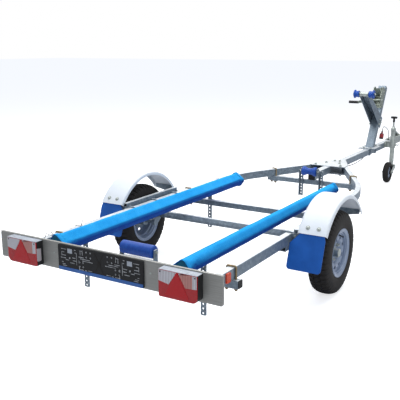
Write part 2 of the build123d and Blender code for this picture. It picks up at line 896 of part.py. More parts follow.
with BuildPart() as winch_post:
    foot = Plane(origin=(0, at(post_station), post_foot), x_dir=(1, 0, 0), z_dir=(0, sin(lean), cos(lean)))
    with BuildSketch(foot.offset(-post_depth)):
        RectangleRounded(post_width, post_depth, tube_corner + 2)
        RectangleRounded(
            post_width - 2 * post_wall, post_depth - 2 * post_wall, tube_corner + 2 - post_wall, mode=Mode.SUBTRACT
        )
    extrude(amount=post_length + post_depth)
    split(bisect_by=Plane.XY.offset(post_foot), keep=Keep.TOP)
save(winch_post, "winch_post")

# Base plate of the post and the U-bolts round the drawbar
with BuildPart() as post_base:
    with BuildSketch(Plane.XY.offset(frame_top)):
        with Locations((0, at(post_station))):
            Rectangle(post_plate_width, post_plate_length)
            with GridLocations(drawbar_width + bolt_rod + 2 * bolt_side_gap, 2 * post_clamp_half_span, 2, 2):
                Circle(bolt_rod / 2 + bolt_hole_gap, mode=Mode.SUBTRACT)
    extrude(amount=post_plate)
save(post_base, "post_base_plate")


def hanging_u_bolt(station, inner_width, bottom, top):
    """Rod bent under a tube, with both legs up through the plate above."""
    leg = inner_width / 2 + bolt_side_gap + bolt_rod / 2
    keel = bottom - bolt_rod / 2
    with BuildPart() as rod:
        with BuildLine(across(station)) as path:
            FilletPolyline((-leg, top), (-leg, keel), (leg, keel), (leg, top), radius=tube_corner + bolt_rod / 2)
        with BuildSketch(Plane(origin=path.line @ 0, z_dir=path.line % 0)):
            Circle(bolt_rod / 2)
        sweep(path=path.line)
    return rod.part


post_bolt_parts = [
    hanging_u_bolt(post_station + step, drawbar_width, rail_bottom, post_foot + thread_length)
    for step in (-post_clamp_half_span, post_clamp_half_span)
]
with BuildPart() as post_u_bolts:
    add(post_bolt_parts)
save(post_u_bolts, "post_u_bolts")

# Snubber arm: channel that hugs the post and reaches back to the bow rollers
root_along = (snubber_root_height - post_foot) / cos(lean)
root_station, root_height = post_point(root_along, 0)
arm_run = snubber_station - root_station
arm_rise = snubber_height - root_height
arm_length = hypot(arm_run, arm_rise)
arm_tilt = atan2(arm_rise, arm_run)
snubber_in = post_width / 2
snubber_out = snubber_in + snubber_wall
tip_plane = Plane(
    origin=(0, at(root_station), root_height), x_dir=(0, cos(arm_tilt), sin(arm_tilt)), z_dir=(1, 0, 0)
)
with BuildPart() as snubber_arm:
    with BuildSketch(tip_plane.offset(-snubber_out)):
        with BuildLine():
            Polyline(
                (-post_depth, -snubber_root_depth / 2), (-post_depth, snubber_root_depth / 2),
                (arm_length + 14, snubber_tip_depth / 2), (arm_length + 26, 0),
                (arm_length + 14, -snubber_tip_depth / 2), (-post_depth, -snubber_root_depth / 2),
            )
        make_face()
    extrude(amount=2 * snubber_out)
    with BuildSketch(tip_plane.offset(-snubber_in)):
        with BuildLine():
            Polyline(
                (-2 * post_depth, -snubber_root_depth), (-2 * post_depth, snubber_root_depth),
                (post_depth, snubber_root_depth), (post_depth, snubber_root_depth / 2 - 20),
                (arm_length - 30, snubber_tip_depth / 2 - snubber_wall),
                (arm_length - 30, snubber_root_depth),
                (2 * arm_length, snubber_root_depth), (2 * arm_length, -snubber_root_depth),
                (-2 * post_depth, -snubber_root_depth),
            )
        make_face()
    extrude(amount=2 * snubber_in, mode=Mode.SUBTRACT)
    with BuildSketch(along(-snubber_out - bow_roller_length - 2 * bow_gap)):
        with Locations((at(snubber_station), snubber_height)):
            Circle(bow_pin_radius)
    extrude(amount=2 * (snubber_out + bow_roller_length + 2 * bow_gap))
    for side, sign in sides:
        with BuildSketch(along(sign * (snubber_out + bow_roller_length + 2 * bow_gap))):
            with Locations((at(snubber_station), snubber_height)):
                Circle(bow_pin_radius + 5)
        extrude(amount=sign * 5)
save(snubber_arm, "snubber_arm")

for side, sign in sides:
    inner = snubber_out + bow_gap
    outer = inner + bow_roller_length
    shape = (
        (inner, bow_roller_radius - 10), (inner + 8, bow_roller_radius - 8), (inner + 20, bow_waist_radius),
        (inner + 32, bow_waist_radius), (outer - 10, bow_roller_radius), (outer - 3, bow_roller_radius),
        (outer, bow_roller_radius - 4),
    )
    if sign < 0:
        shape = tuple((-x, radius) for x, radius in reversed(shape))
    with BuildPart() as bow_roller:
        add(roller(snubber_station, snubber_height, shape, bow_pin_radius))
    save(bow_roller, f"bow_roller_{side}")

# Winch frame: base on the post's rear face and two side plates
post_back = post_depth / 2
with BuildPart() as winch_frame:
    with BuildSketch(post_plane(0, post_back, -winch_half - winch_wall)):
        with Locations(((winch_low + winch_high) / 2, winch_base / 2)):
            Rectangle(winch_high - winch_low, winch_base)
    extrude(amount=2 * (winch_half + winch_wall))
    for side, sign in sides:
        with BuildSketch(post_plane(0, post_back, sign * winch_half)):
            with BuildLine():
                Polyline(
                    (winch_low, 0), (winch_high, 0), (winch_high, winch_depth - 40), (winch_high - 34, winch_depth),
                    (winch_low + 60, winch_depth), (winch_low, winch_depth - 62), (winch_low, 0),
                )
            make_face()
        extrude(amount=sign * winch_wall)
    with BuildSketch(post_plane(crank_along, post_back + crank_off, -winch_half - winch_wall)):
        Circle(crank_shaft_radius + shaft_gap)
    extrude(amount=2 * (winch_half + winch_wall), mode=Mode.SUBTRACT)
    with BuildSketch(post_plane(drum_along, post_back + drum_off, -winch_half)):
        Circle(bow_pin_radius)
    extrude(amount=2 * winch_half)
save(winch_frame, "winch_frame")

# Winch drum
drum_half = winch_half - drum_side_gap
drum_station, drum_height = post_point(drum_along, post_back + drum_off)
drum_profile = (
    (-drum_half, drum_flange_radius), (-drum_half + drum_flange, drum_flange_radius),
    (-drum_half + drum_flange, drum_core_radius), (drum_half - drum_flange, drum_core_radius),
    (drum_half - drum_flange, drum_flange_radius), (drum_half, drum_flange_radius),
)
with BuildPart() as winch_drum:
    add(roller(drum_station, drum_height, drum_profile, bow_pin_radius))
save(winch_drum, "winch_drum")

# Crank: shaft, bar and grip
crank_station, crank_height = post_point(crank_along, post_back + crank_off)
grip_station = crank_station - crank_reach * cos(radians(crank_drop_angle))
grip_height = crank_height - crank_reach * sin(radians(crank_drop_angle))
hub_x = winch_half + winch_wall + 5
with BuildPart() as winch_crank:
    with BuildSketch(along(winch_half + winch_wall + 8)):
        with Locations((at(crank_station), crank_height)):
            Circle(crank_shaft_radius)
    extrude(amount=-(winch_half + winch_wall + 8 + hub_x + crank_hub_length))
    with BuildSketch(along(-hub_x)):
        with Locations((at(crank_station), crank_height)):
            Circle(crank_shaft_radius + 7)
    extrude(amount=-crank_hub_length)
    bar_plane = Plane(
        origin=(-hub_x, at(crank_station), crank_height), x_dir=(0, -cos(radians(crank_drop_angle)),
                                                             -sin(radians(crank_drop_angle))),
        z_dir=(0, sin(radians(crank_drop_angle)), -cos(radians(crank_drop_angle))),
    )
    with BuildSketch(bar_plane.offset(-crank_bar_width / 2)):
        with BuildLine():
            Polyline(
                (0, 6), (60, 6), (crank_reach - 20, crank_outset), (crank_reach + 12, crank_outset),
                (crank_reach + 12, crank_outset + crank_bar_thickness),
                (crank_reach - 22, crank_outset + crank_bar_thickness),
                (56, 6 + crank_bar_thickness), (0, 6 + crank_bar_thickness), (0, 6),
            )
        make_face()
    extrude(amount=crank_bar_width)
save(winch_crank, "winch_crank")
grip_start = hub_x + crank_outset + crank_bar_thickness
with BuildPart() as crank_grip:
    with BuildSketch(along(-grip_start)):
        with Locations((at(grip_station), grip_height)):
            Circle(crank_grip_radius)
    extrude(amount=-crank_grip_length)
    fillet(edges().sort_by(Axis.X)[0], 4)
save(crank_grip, "crank_grip")

# Jockey clamp: split collar on a bracket bolted to the drawbar's right side
collar_radius = jockey_tube_radius + jockey_clamp_gap
clamp_height = jockey_clamp_high - jockey_clamp_low
with BuildPart() as jockey_clamp:
    with BuildSketch(Plane.XY.offset(jockey_clamp_low)):
        with Locations((jockey_offset, at(jockey_station))):
            Circle(collar_radius + jockey_clamp_wall)
        with Locations(((drawbar_width / 2 + jockey_offset) / 2, at(jockey_station))):
            Rectangle(jockey_offset - drawbar_width / 2, 2 * jockey_clamp_wall + 20)
        with Locations((drawbar_width / 2 + 3, at(jockey_station))):
            Rectangle(6, 120)
        with Locations((jockey_offset, at(jockey_station))):
            Circle(collar_radius, mode=Mode.SUBTRACT)
    extrude(amount=clamp_height)
    split(bisect_by=Plane.XY.offset(jockey_clamp_high), keep=Keep.BOTTOM)
save(jockey_clamp, "jockey_clamp")

# Jockey post: outer tube with its T handle on a spindle
with BuildPart() as jockey_tube:
    with BuildSketch(Plane.XY.offset(jockey_tube_bottom)):
        with Locations((jockey_offset, at(jockey_station))):
            Circle(jockey_tube_radius)
            Circle(jockey_tube_radius - jockey_tube_wall, mode=Mode.SUBTRACT)
    extrude(amount=jockey_tube_top - jockey_tube_bottom)
    with BuildSketch(Plane.XY.offset(jockey_tube_top - 6)):
        with Locations((jockey_offset, at(jockey_station))):
            Circle(jockey_tube_radius - jockey_tube_wall)
    extrude(amount=6)
save(jockey_tube, "jockey_tube")

with BuildPart() as jockey_handle:
    with BuildSketch(Plane.XY.offset(jockey_tube_top)):
        with Locations((jockey_offset, at(jockey_station))):
            Circle(7)
    extrude(amount=40)
    with BuildSketch(Plane.XY.offset(jockey_tube_top + 40)):
        with Locations((jockey_offset, at(jockey_station))):
            Circle(jockey_handle_radius)
    extrude(amount=jockey_handle_height - jockey_tube_top - 40)
    with BuildSketch(along(jockey_offset - jockey_handle_length / 2)):
        with Locations((at(jockey_station), jockey_handle_height + jockey_handle_radius - 4)):
            Circle(jockey_handle_radius + 2)
    extrude(amount=jockey_handle_length)
save(jockey_handle, "jockey_handle")

# Jockey leg: inner tube that slides in the outer one
with BuildPart() as jockey_leg:
    with BuildSketch(Plane.XY.offset(jockey_leg_bottom)):
        with Locations((jockey_offset, at(jockey_station))):
            Circle(jockey_tube_radius - jockey_tube_wall - jockey_leg_gap)
    extrude(amount=jockey_leg_top - jockey_leg_bottom)
save(jockey_leg, "jockey_leg")

# Jockey fork: swivel boss with two arms back to the wheel pin
fork_in = jockey_wheel_width / 2 + jockey_fork_gap
fork_top = jockey_leg_bottom - seat_gap
wheel_station = jockey_station - jockey_trail
with BuildPart() as jockey_fork:
    with BuildSketch(Plane.XY.offset(fork_top)):
        with Locations((jockey_offset, at(jockey_station))):
            Circle(jockey_leg_radius)
    extrude(amount=-34)
    with BuildSketch(Plane.XY.offset(fork_top - 34)):
        with Locations((jockey_offset, at(jockey_station))):
            Rectangle(2 * fork_in, 34)
    extrude(amount=34)
    for side, sign in sides:
        with BuildSketch(along(jockey_offset + sign * fork_in)):
            with BuildLine():
                Polyline(
                    (at(jockey_station + 17), fork_top), (at(jockey_station - 17), fork_top),
                    (at(wheel_station - 12), jockey_wheel_radius + 16), (at(wheel_station - 12), jockey_wheel_radius - 16),
                    (at(wheel_station + 12), jockey_wheel_radius - 16), (at(jockey_station + 17), fork_top - 34),
                    (at(jockey_station + 17), fork_top),
                )
            make_face()
        extrude(amount=sign * jockey_fork_wall)
    with BuildSketch(along(jockey_offset - fork_in)):
        with Locations((at(wheel_station), jockey_wheel_radius)):
            Circle(jockey_pin_radius)
    extrude(amount=2 * fork_in)
save(jockey_fork, "jockey_fork")

# Jockey wheel
jockey_half = jockey_wheel_width / 2
with BuildPart() as jockey_wheel:
    with BuildSketch(
        Plane(origin=(jockey_offset, at(wheel_station), jockey_wheel_radius), x_dir=(1, 0, 0), z_dir=(0, -1, 0))
    ):
        with BuildLine():
            Polyline(
                (-jockey_half, jockey_pin_radius + roller_bore_gap), (-jockey_half, 20), (-14, 24), (-14, 62),
                (-24, 68), (-jockey_half + 2, 84), (-jockey_half + 8, 100),
            )
            ThreePointArc((-jockey_half + 8, 100), (0, jockey_wheel_radius), (jockey_half - 8, 100))
            Polyline(
                (jockey_half - 8, 100), (jockey_half - 2, 84), (24, 68), (14, 62), (14, 24), (jockey_half, 20),
                (jockey_half, jockey_pin_radius + roller_bore_gap), (-jockey_half, jockey_pin_radius + roller_bore_gap),
            )
        make_face()
    revolve(axis=Axis((0, at(wheel_station), jockey_wheel_radius), (1, 0, 0)))
save(jockey_wheel, "jockey_wheel")

# Coupling head: sleeve over the drawbar and a nose with the ball socket
ball_station = coupling_tip - coupling_nose_radius
sleeve_half = drawbar_width / 2 + coupling_wall
with BuildPart() as coupling_head:
    with BuildSketch(across(coupling_rear)):
        with Locations((0, (coupling_low + coupling_high) / 2)):
            Rectangle(2 * sleeve_half, coupling_high - coupling_low)
        with Locations((0, frame_top - 100)):
            Rectangle(drawbar_width, 200, mode=Mode.SUBTRACT)
    extrude(amount=-(drawbar_front - coupling_rear))
    with BuildSketch(Plane.XY.offset(coupling_low)):
        with BuildLine():
            Polyline(
                (-coupling_nose_radius, at(ball_station)), (-sleeve_half, at(drawbar_front)),
                (sleeve_half, at(drawbar_front)), (coupling_nose_radius, at(ball_station)),
            )
            ThreePointArc(
                (coupling_nose_radius, at(ball_station)), (0, at(coupling_tip)), (-coupling_nose_radius, at(ball_station))
            )
        make_face()
    extrude(amount=coupling_high - coupling_low)
    with BuildSketch(Plane.XY.offset(coupling_low)):
        with Locations((0, at(ball_station))):
            Circle(ball_socket_radius)
    extrude(amount=socket_depth, mode=Mode.SUBTRACT)
    fillet(edges().group_by(Axis.Z)[-1], 6)
save(coupling_head, "coupling_head")

with BuildPart() as coupling_handle:
    with BuildSketch(along(-coupling_handle_width / 2)):
        with BuildLine():
            Polyline(
                (at(ball_station - 20), coupling_high), (at(ball_station - 60), coupling_high),
                (at(ball_station - 200), coupling_high + coupling_handle_rise),
                (at(ball_station - 192), coupling_high + coupling_handle_rise + 10),
                (at(ball_station - 60), coupling_high + 24), (at(ball_station - 20), coupling_high + 14),
                (at(ball_station - 20), coupling_high),
            )
        make_face()
    extrude(amount=coupling_handle_width)
save(coupling_handle, "coupling_handle")

# Cable that sags under the drawbar between its two holes
with BuildPart() as drawbar_cable:
    add(cable("drawbar_cable", drawbar_cable_route, drawbar_cable_size))
save(drawbar_cable, "drawbar_cable")

# Tow plug on its cable, and the gland where the cable leaves the drawbar
gland_x, gland_station, gland_top = tow_cable_route[0]
with BuildPart() as cable_gland:
    with BuildSketch(Plane.XY.offset(frame_top)):
        with Locations((gland_x, at(gland_station))):
            Circle(gland_radius)
    extrude(amount=gland_top - frame_top)
    chamfer(edges().group_by(Axis.Z)[-1], 2)
save(cable_gland, "cable_gland")
with BuildPart() as tow_cable:
    add(cable("tow_cable", tow_cable_route, tow_cable_size))
save(tow_cable, "tow_cable")

plug_x, plug_station, plug_top = tow_cable_route[-1]
plug_axis = route_points(tow_cable_route)[-1] - route_points(tow_cable_route)[-2]
with BuildPart() as tow_plug:
    with BuildSketch(Plane(origin=(plug_x, at(plug_station), plug_top), z_dir=plug_axis)):
        Circle(plug_neck_radius)
    extrude(amount=plug_neck)
    with BuildSketch(Plane(origin=(plug_x, at(plug_station), plug_top), z_dir=plug_axis).offset(plug_neck)):
        Circle(plug_radius)
    extrude(amount=plug_length - plug_neck)
    fillet(edges().filter_by(GeomType.CIRCLE).group_by(SortBy.RADIUS)[-1], 3)
save(tow_plug, "tow_plug")
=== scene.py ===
"""Galvanised boat trailer: finishes, soft bunks, tread, fixings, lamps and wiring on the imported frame."""

import json
import math

import bmesh
import bpy
from mathutils import Matrix, Vector, noise


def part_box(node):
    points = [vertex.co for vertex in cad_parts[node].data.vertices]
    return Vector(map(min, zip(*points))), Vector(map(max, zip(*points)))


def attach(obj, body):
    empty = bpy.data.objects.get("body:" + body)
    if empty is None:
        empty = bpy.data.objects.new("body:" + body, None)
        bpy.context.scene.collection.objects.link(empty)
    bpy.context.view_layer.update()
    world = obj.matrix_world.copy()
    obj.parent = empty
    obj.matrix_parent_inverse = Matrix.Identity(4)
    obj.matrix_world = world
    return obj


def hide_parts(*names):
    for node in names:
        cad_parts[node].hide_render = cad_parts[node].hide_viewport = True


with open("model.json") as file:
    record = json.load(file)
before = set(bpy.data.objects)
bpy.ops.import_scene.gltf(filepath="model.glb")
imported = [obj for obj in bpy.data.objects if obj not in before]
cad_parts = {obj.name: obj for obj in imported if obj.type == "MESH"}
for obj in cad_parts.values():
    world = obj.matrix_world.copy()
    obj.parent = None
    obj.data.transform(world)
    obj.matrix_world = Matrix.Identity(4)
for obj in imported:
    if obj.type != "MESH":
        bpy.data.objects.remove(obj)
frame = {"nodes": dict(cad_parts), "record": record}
scene = bpy.context.scene
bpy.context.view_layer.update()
rear_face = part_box("light_board")[0].y


# Sizes and places of the solids that the added pieces sit on, in millimetres
rail_middle, rail_top = 557, 420
bunk_middle, bunk_height = 385, 430
post_station, post_base = 4315, 428
axle_station = 1270
wheel_middle = 711
wheel_radius = 254
lamp_middle = 480
lamp_half = 102.5
plate_middle = 420
roller_station, roller_height = 308, 415
front_roller_station, front_roller_height = 2664, 441
bow_pin = (4023, 988)
drum_along, winch_off = 565, 122
crank_along = 478
jockey_x, jockey_station = 105, 4790
jockey_axle_station, jockey_radius = 4662, 112
washer_height = 1.6


def place(x, station, height):
    """Point in metres from millimetres: right of the middle, forwards of the board's rear face, above the floor."""
    return Vector((x / 1000, rear_face + station / 1000, height / 1000))


def linked(name, data):
    """New object in the scene."""
    made = bpy.data.objects.new(name, data)
    scene.collection.objects.link(made)
    return made


# Camera: behind the right rear corner, a little above the bow rollers, at the photograph's angle
eye = place(1953.6, -2262.4, 1446.8)
camera_right = Vector((0.85289, 0.52209, -0.00156))
camera_up = Vector((-0.12013, 0.19915, 0.97258))
camera_back = Vector((0.50808, -0.82931, 0.23258))
lens = bpy.data.cameras.new("trailer_camera")
lens.lens = 57.78
lens.sensor_width = 36
lens.clip_end = 200
camera = linked("trailer_camera", lens)
camera.matrix_world = Matrix.Translation(eye) @ Matrix((camera_right, camera_up, camera_back)).transposed().to_4x4()
scene.camera = camera
scene.view_settings.view_transform = "Standard"


# Finishes
def linear(code):
    """sRGB hex colour as linear RGBA."""
    channels = [int(code[i:i + 2], 16) / 255 for i in (1, 3, 5)]
    return [c / 12.92 if c <= 0.04045 else ((c + 0.055) / 1.055) ** 2.4 for c in channels] + [1.0]


def add(tree, kind, inputs=None, **settings):
    """One node with its settings, and its inputs set or linked."""
    made = tree.nodes.new(kind)
    for key, value in settings.items():
        setattr(made, key, value)
    for key, value in (inputs or {}).items():
        if isinstance(value, bpy.types.NodeSocket):
            tree.links.new(value, made.inputs[key])
        else:
            made.inputs[key].default_value = value
    return made


def surface(name, **constants):
    """New material with its shader, and the piece's own coordinates."""
    material = bpy.data.materials.new(name)
    material.use_nodes = True
    tree = material.node_tree
    shader = tree.nodes["Principled BSDF"]
    for key, value in constants.items():
        shader.inputs[key.replace("_", " ")].default_value = value
    own = add(tree, "ShaderNodeTexCoord").outputs["Object"]
    return material, tree, shader, own


def ramp(tree, factor, *stops):
    """Colour ramp from (position, hex colour) pairs."""
    made = add(tree, "ShaderNodeValToRGB", {"Fac": factor})
    band = made.color_ramp
    while len(band.elements) < len(stops):
        band.elements.new(0.5)
    for element, (position, code) in zip(band.elements, stops):
        element.position = position
        element.color = linear(code)
    return made.outputs["Color"]


def tint(tree, shader, factor, *stops):
    """Base colour that a texture picks from a ramp."""
    tree.links.new(ramp(tree, factor, *stops), shader.inputs["Base Color"])


def speckle(tree, where, scale, detail, roughness=0.5):
    """Factor of a noise texture."""
    values = {"Vector": where, "Scale": scale, "Detail": detail, "Roughness": roughness}
    return add(tree, "ShaderNodeTexNoise", values).outputs["Fac"]


def total(tree, first, second):
    """Sum of two factors."""
    return add(tree, "ShaderNodeMath", {0: first, 1: second}, operation="ADD").outputs["Value"]


def spread(tree, factor, low, high, start=0.0, end=1.0):
    """A factor from start to end mapped onto low to high."""
    return add(
        tree, "ShaderNodeMapRange",
        {"Value": factor, "From Min": start, "From Max": end, "To Min": low, "To Max": high},
    ).outputs["Result"]


def upward(tree):
    """How far the surface looks up: 0 for undersides, 0.5 for upright faces, 1 for tops."""
    normal = add(tree, "ShaderNodeTexCoord").outputs["Normal"]
    return spread(tree, add(tree, "ShaderNodeSeparateXYZ", {"Vector": normal}).outputs["Z"], 0.0, 1.0, -1.0, 1.0)


def mix(tree, factor, first, second):
    """Colour between two others."""
    made = add(tree, "ShaderNodeMix", data_type="RGBA")
    for socket, value in ((made.inputs["Factor"], factor), (made.inputs[6], first), (made.inputs[7], second)):
        tree.links.new(value, socket)
    return made.outputs[2]


def bump(tree, shader, height, strength, distance):
    """Surface relief of a real depth in metres."""
    made = add(tree, "ShaderNodeBump", {"Height": height, "Strength": strength, "Distance": distance})
    tree.links.new(made.outputs["Normal"], shader.inputs["Normal"])


# Hot-dip galvanised steel: zinc spangle of about 14 mm, with painted light: paler tops as painted light and darker
# sides as painted shade
galvanised, tree, shader, own = surface("hot_dip_galvanised_steel", Metallic=0.38)
spangle = add(tree, "ShaderNodeTexVoronoi", {"Vector": own, "Scale": 72.0, "Randomness": 1.0})
bloom = speckle(tree, own, 9.0, 6.0, 0.62)
grain = speckle(tree, own, 420.0, 3.0)
crystals = add(tree, "ShaderNodeSeparateColor", {"Color": spangle.outputs["Color"]}).outputs["Red"]
mixed = total(tree, spread(tree, crystals, 0.0, 0.42), spread(tree, bloom, 0.0, 0.62))
# Painted light and shade: a darker tone for the sides as painted shade and a paler tone for the tops as painted light,
# mixed by how far the surface faces up
shaded_sides_tone = ramp(tree, mixed, (0.15, "#606b77"), (0.5, "#72808c"), (0.85, "#8a97a1"))
lit_tops_tone = ramp(tree, mixed, (0.15, "#b4babf"), (0.5, "#cbd0d3"), (0.85, "#dde0e2"))
tree.links.new(
    mix(tree, spread(tree, upward(tree), 0.0, 1.0, 0.8, 0.97), shaded_sides_tone, lit_tops_tone), shader.inputs["Base Color"]
)
tree.links.new(spread(tree, mixed, 0.36, 0.56, 0.1, 0.9), shader.inputs["Roughness"])
bump(tree, shader, grain, 0.25, 0.0004)

# Moulded polyethylene: dull black with a fine spark-eroded grain
black_plastic, tree, shader, own = surface("moulded_black_polyethylene", Roughness=0.55, Specular_IOR_Level=0.3)
grain = speckle(tree, own, 900.0, 2.0)
tint(tree, shader, grain, (0.3, "#0e0e10"), (0.7, "#18191b"))
bump(tree, shader, grain, 0.3, 0.0002)

# Vulcanised rubber: near black, a greyer bloom where it flexes
tyre_rubber, tree, shader, own = surface("vulcanised_tyre_rubber", Roughness=0.72, Specular_IOR_Level=0.3)
dust = speckle(tree, own, 14.0, 7.0, 0.65)
grain = speckle(tree, own, 700.0, 3.0)
tint(tree, shader, dust, (0.35, "#111011"), (0.7, "#221f1d"))
tree.links.new(spread(tree, dust, 0.62, 0.85), shader.inputs["Roughness"])
bump(tree, shader, grain, 0.3, 0.0003)

# Stove-enamelled steel: silver-grey paint with a faint flake and orange peel
rim_paint, tree, shader, own = surface("stove_enamelled_silver_steel", Metallic=0.25, Roughness=0.36, Coat_Weight=0.1)
flake = speckle(tree, own, 1400.0, 1.0)
peel = speckle(tree, own, 260.0, 2.0)
tint(tree, shader, flake, (0.3, "#74829a"), (0.7, "#8e9cb2"))
bump(tree, shader, peel, 0.12, 0.0004)

# Injection-moulded polypropylene: white with a soft satin skin and slight flow marks
guard_plastic, tree, shader, own = surface("moulded_white_polypropylene", Roughness=0.42, Specular_IOR_Level=0.35)
flow = speckle(tree, own, 4.0, 4.0)
grain = speckle(tree, own, 500.0, 2.0)
tint(tree, shader, flow, (0.3, "#dde3e9"), (0.7, "#e9edf0"))
bump(tree, shader, grain, 0.15, 0.0002)

# Calendered rubber sheet: royal blue, dull, with a faint cloth imprint of 1 mm
flap_rubber, tree, shader, own = surface("calendered_blue_rubber", Roughness=0.5, Specular_IOR_Level=0.3)
cloud = speckle(tree, own, 12.0, 5.0)
grain = speckle(tree, own, 800.0, 2.0)
tint(tree, shader, cloud, (0.3, "#104f9e"), (0.7, "#195db4"))
bump(tree, shader, grain, 0.3, 0.0003)

# Needle-punched polypropylene carpet: blue pile with 3 mm loops, with painted light: sky blue on top as painted light
# and deep blue on the sides and below as painted shade
carpet, tree, shader, own = surface(
    "needle_punched_blue_carpet", Roughness=0.95, Sheen_Weight=0.08, Sheen_Roughness=0.4, Specular_IOR_Level=0.2,
    Sheen_Tint=linear("#4cb8ff"),
)
loops = speckle(tree, own, 330.0, 4.0, 0.7)
wear = speckle(tree, own, 7.0, 5.0, 0.6)
mixed = total(tree, spread(tree, loops, 0.0, 0.6), spread(tree, wear, 0.0, 0.4))
# Painted light and shade: deep blue for sides and undersides as painted shade, sky blue for tops as painted light,
# mixed by how far the surface faces up
shaded_carpet_tone = ramp(tree, mixed, (0.3, "#05337f"), (0.5, "#083f94"), (0.7, "#1153ab"))
lit_carpet_tone = ramp(tree, mixed, (0.3, "#1289d4"), (0.5, "#22a6ea"), (0.7, "#4bbdf2"))
tree.links.new(mix(tree, spread(tree, upward(tree), 0.0, 1.0, 0.46, 0.96), shaded_carpet_tone, lit_carpet_tone), shader.inputs["Base Color"])
bump(tree, shader, loops, 0.8, 0.002)

# Moulded PVC: deep blue rollers, satin, scuffed paler in streaks
roller_plastic, tree, shader, own = surface("moulded_blue_vinyl", Roughness=0.42, Specular_IOR_Level=0.35)
scuff = speckle(tree, own, 60.0, 6.0, 0.7)
tint(tree, shader, scuff, (0.4, "#0f4199"), (0.75, "#2159ad"))
tree.links.new(spread(tree, scuff, 0.34, 0.6), shader.inputs["Roughness"])
bump(tree, shader, scuff, 0.2, 0.0004)

# Rolled aluminium sheet: warm grey with a lengthwise mill grain
board_sheet, tree, shader, own = surface("rolled_aluminium_sheet", Metallic=0.45, Roughness=0.5)
stretched = add(tree, "ShaderNodeMapping", {"Vector": own, "Scale": (3.0, 60.0, 220.0)}).outputs["Vector"]
mill = speckle(tree, stretched, 4.0, 4.0)
tint(tree, shader, mill, (0.3, "#888884"), (0.7, "#9c9c98"))
bump(tree, shader, mill, 0.1, 0.0002)

# Acrylic lens: deep red, glossy, with moulded prisms of 5 mm inside
lens_red, tree, shader, own = surface(
    "moulded_red_acrylic", Roughness=0.14, Coat_Weight=0.25, Coat_Roughness=0.1, Specular_IOR_Level=0.35,
)
prisms = add(tree, "ShaderNodeTexVoronoi", {"Vector": own, "Scale": 190.0, "Randomness": 0.0}, distance="CHEBYCHEV")
tint(tree, shader, prisms.outputs["Distance"], (0.1, "#d0121c"), (0.6, "#7d060c"))
bump(tree, shader, prisms.outputs["Distance"], 0.25, 0.001)



def speckled(name, roughness, scale, detail, *stops):
    """Plain material with one noise of a given scale in its colour."""
    material, tree, shader, own = surface(name, Roughness=roughness)
    tint(tree, shader, speckle(tree, own, scale, detail), *stops)
    return material


def reflector(name, bright, dark):
    """Glossy acrylic with honeycomb cells of 3 mm."""
    material, tree, shader, own = surface(name, Roughness=0.2, Specular_IOR_Level=0.35)
    cells = add(tree, "ShaderNodeTexVoronoi", {"Vector": own, "Scale": 320.0, "Randomness": 0.0}).outputs["Distance"]
    tint(tree, shader, cells, (0.1, bright), (0.6, dark))
    bump(tree, shader, cells, 0.3, 0.001)
    return material


def fluted(name, gloss, pale, dark):
    """Glossy acrylic with moulded flutes of 4 mm."""
    material, tree, shader, own = surface(name, Roughness=0.16, Specular_IOR_Level=gloss)
    values = {"Vector": own, "Scale": 38.0, "Distortion": 0.4}
    flutes = add(tree, "ShaderNodeTexWave", values, bands_direction="X").outputs["Fac"]
    tint(tree, shader, flutes, (0.2, pale), (0.8, dark))
    bump(tree, shader, flutes, 0.3, 0.001)
    return material


# Acrylic reflector: orange-red
lens_orange = reflector("moulded_orange_reflector", "#f0571e", "#b52c0c")

# Zinc-plated pressed steel: greenish grey, satin, fine scratches
winch_steel, tree, shader, own = surface("zinc_plated_pressed_steel", Metallic=0.4)
tone = speckle(tree, own, 40.0, 6.0, 0.6)
tint(tree, shader, tone, (0.3, "#757e76"), (0.7, "#9ea699"))
tree.links.new(spread(tree, tone, 0.32, 0.5), shader.inputs["Roughness"])
bump(tree, shader, tone, 0.1, 0.0003)

# Clear-passivated zinc on cast and pressed steel: bright bluish grey with dull patches
coupling_steel, tree, shader, own = surface("passivated_zinc_steel", Metallic=0.6)
tone = speckle(tree, own, 30.0, 6.0, 0.6)
tint(tree, shader, tone, (0.3, "#8b928f"), (0.7, "#b8beb9"))
tree.links.new(spread(tree, tone, 0.26, 0.46), shader.inputs["Roughness"])
bump(tree, shader, tone, 0.15, 0.0004)

# Yellow-passivated zinc on bent rod: brassy film with olive and pink patches
yellow_steel, tree, shader, own = surface("yellow_passivated_zinc_rod", Metallic=0.5, Roughness=0.4)
tone = speckle(tree, own, 55.0, 5.0, 0.6)
tint(tree, shader, tone, (0.3, "#6a6252"), (0.5, "#8a7858"), (0.7, "#a08a64"))
bump(tree, shader, tone, 0.1, 0.0003)

# Pad ends: shaded teal underside of the folded carpet
pad_end = speckled("folded_teal_carpet_end", 0.95, 160.0, 4.0, (0.3, "#0f5573"), (0.7, "#1a7698"))

# Clear acrylic window over a silvered bowl: pale grey
lens_clear = fluted("moulded_clear_acrylic", 0.4, "#d6d6da", "#a9a2a6")

# Pale pink acrylic over the indicator bulb: washed-out red
lens_pink = fluted("moulded_pink_acrylic", 0.35, "#c98d84", "#a66f68")

# Retroreflecting triangle: brighter red
lens_triangle = reflector("moulded_red_reflector", "#dc1622", "#9c0a12")

# Pale grey moulded lamp body top: matt, dusty
lamp_top = speckled("moulded_grey_lamp_body", 0.5, 30.0, 5.0, (0.3, "#9aa0a9"), (0.7, "#b4bac2"))

# Raised ribs of the black holder: pale grey
holder_edge = speckled("pale_grey_ribbed_polyethylene", 0.5, 70.0, 4.0, (0.35, "#6f7173"), (0.65, "#b4b6b8"))

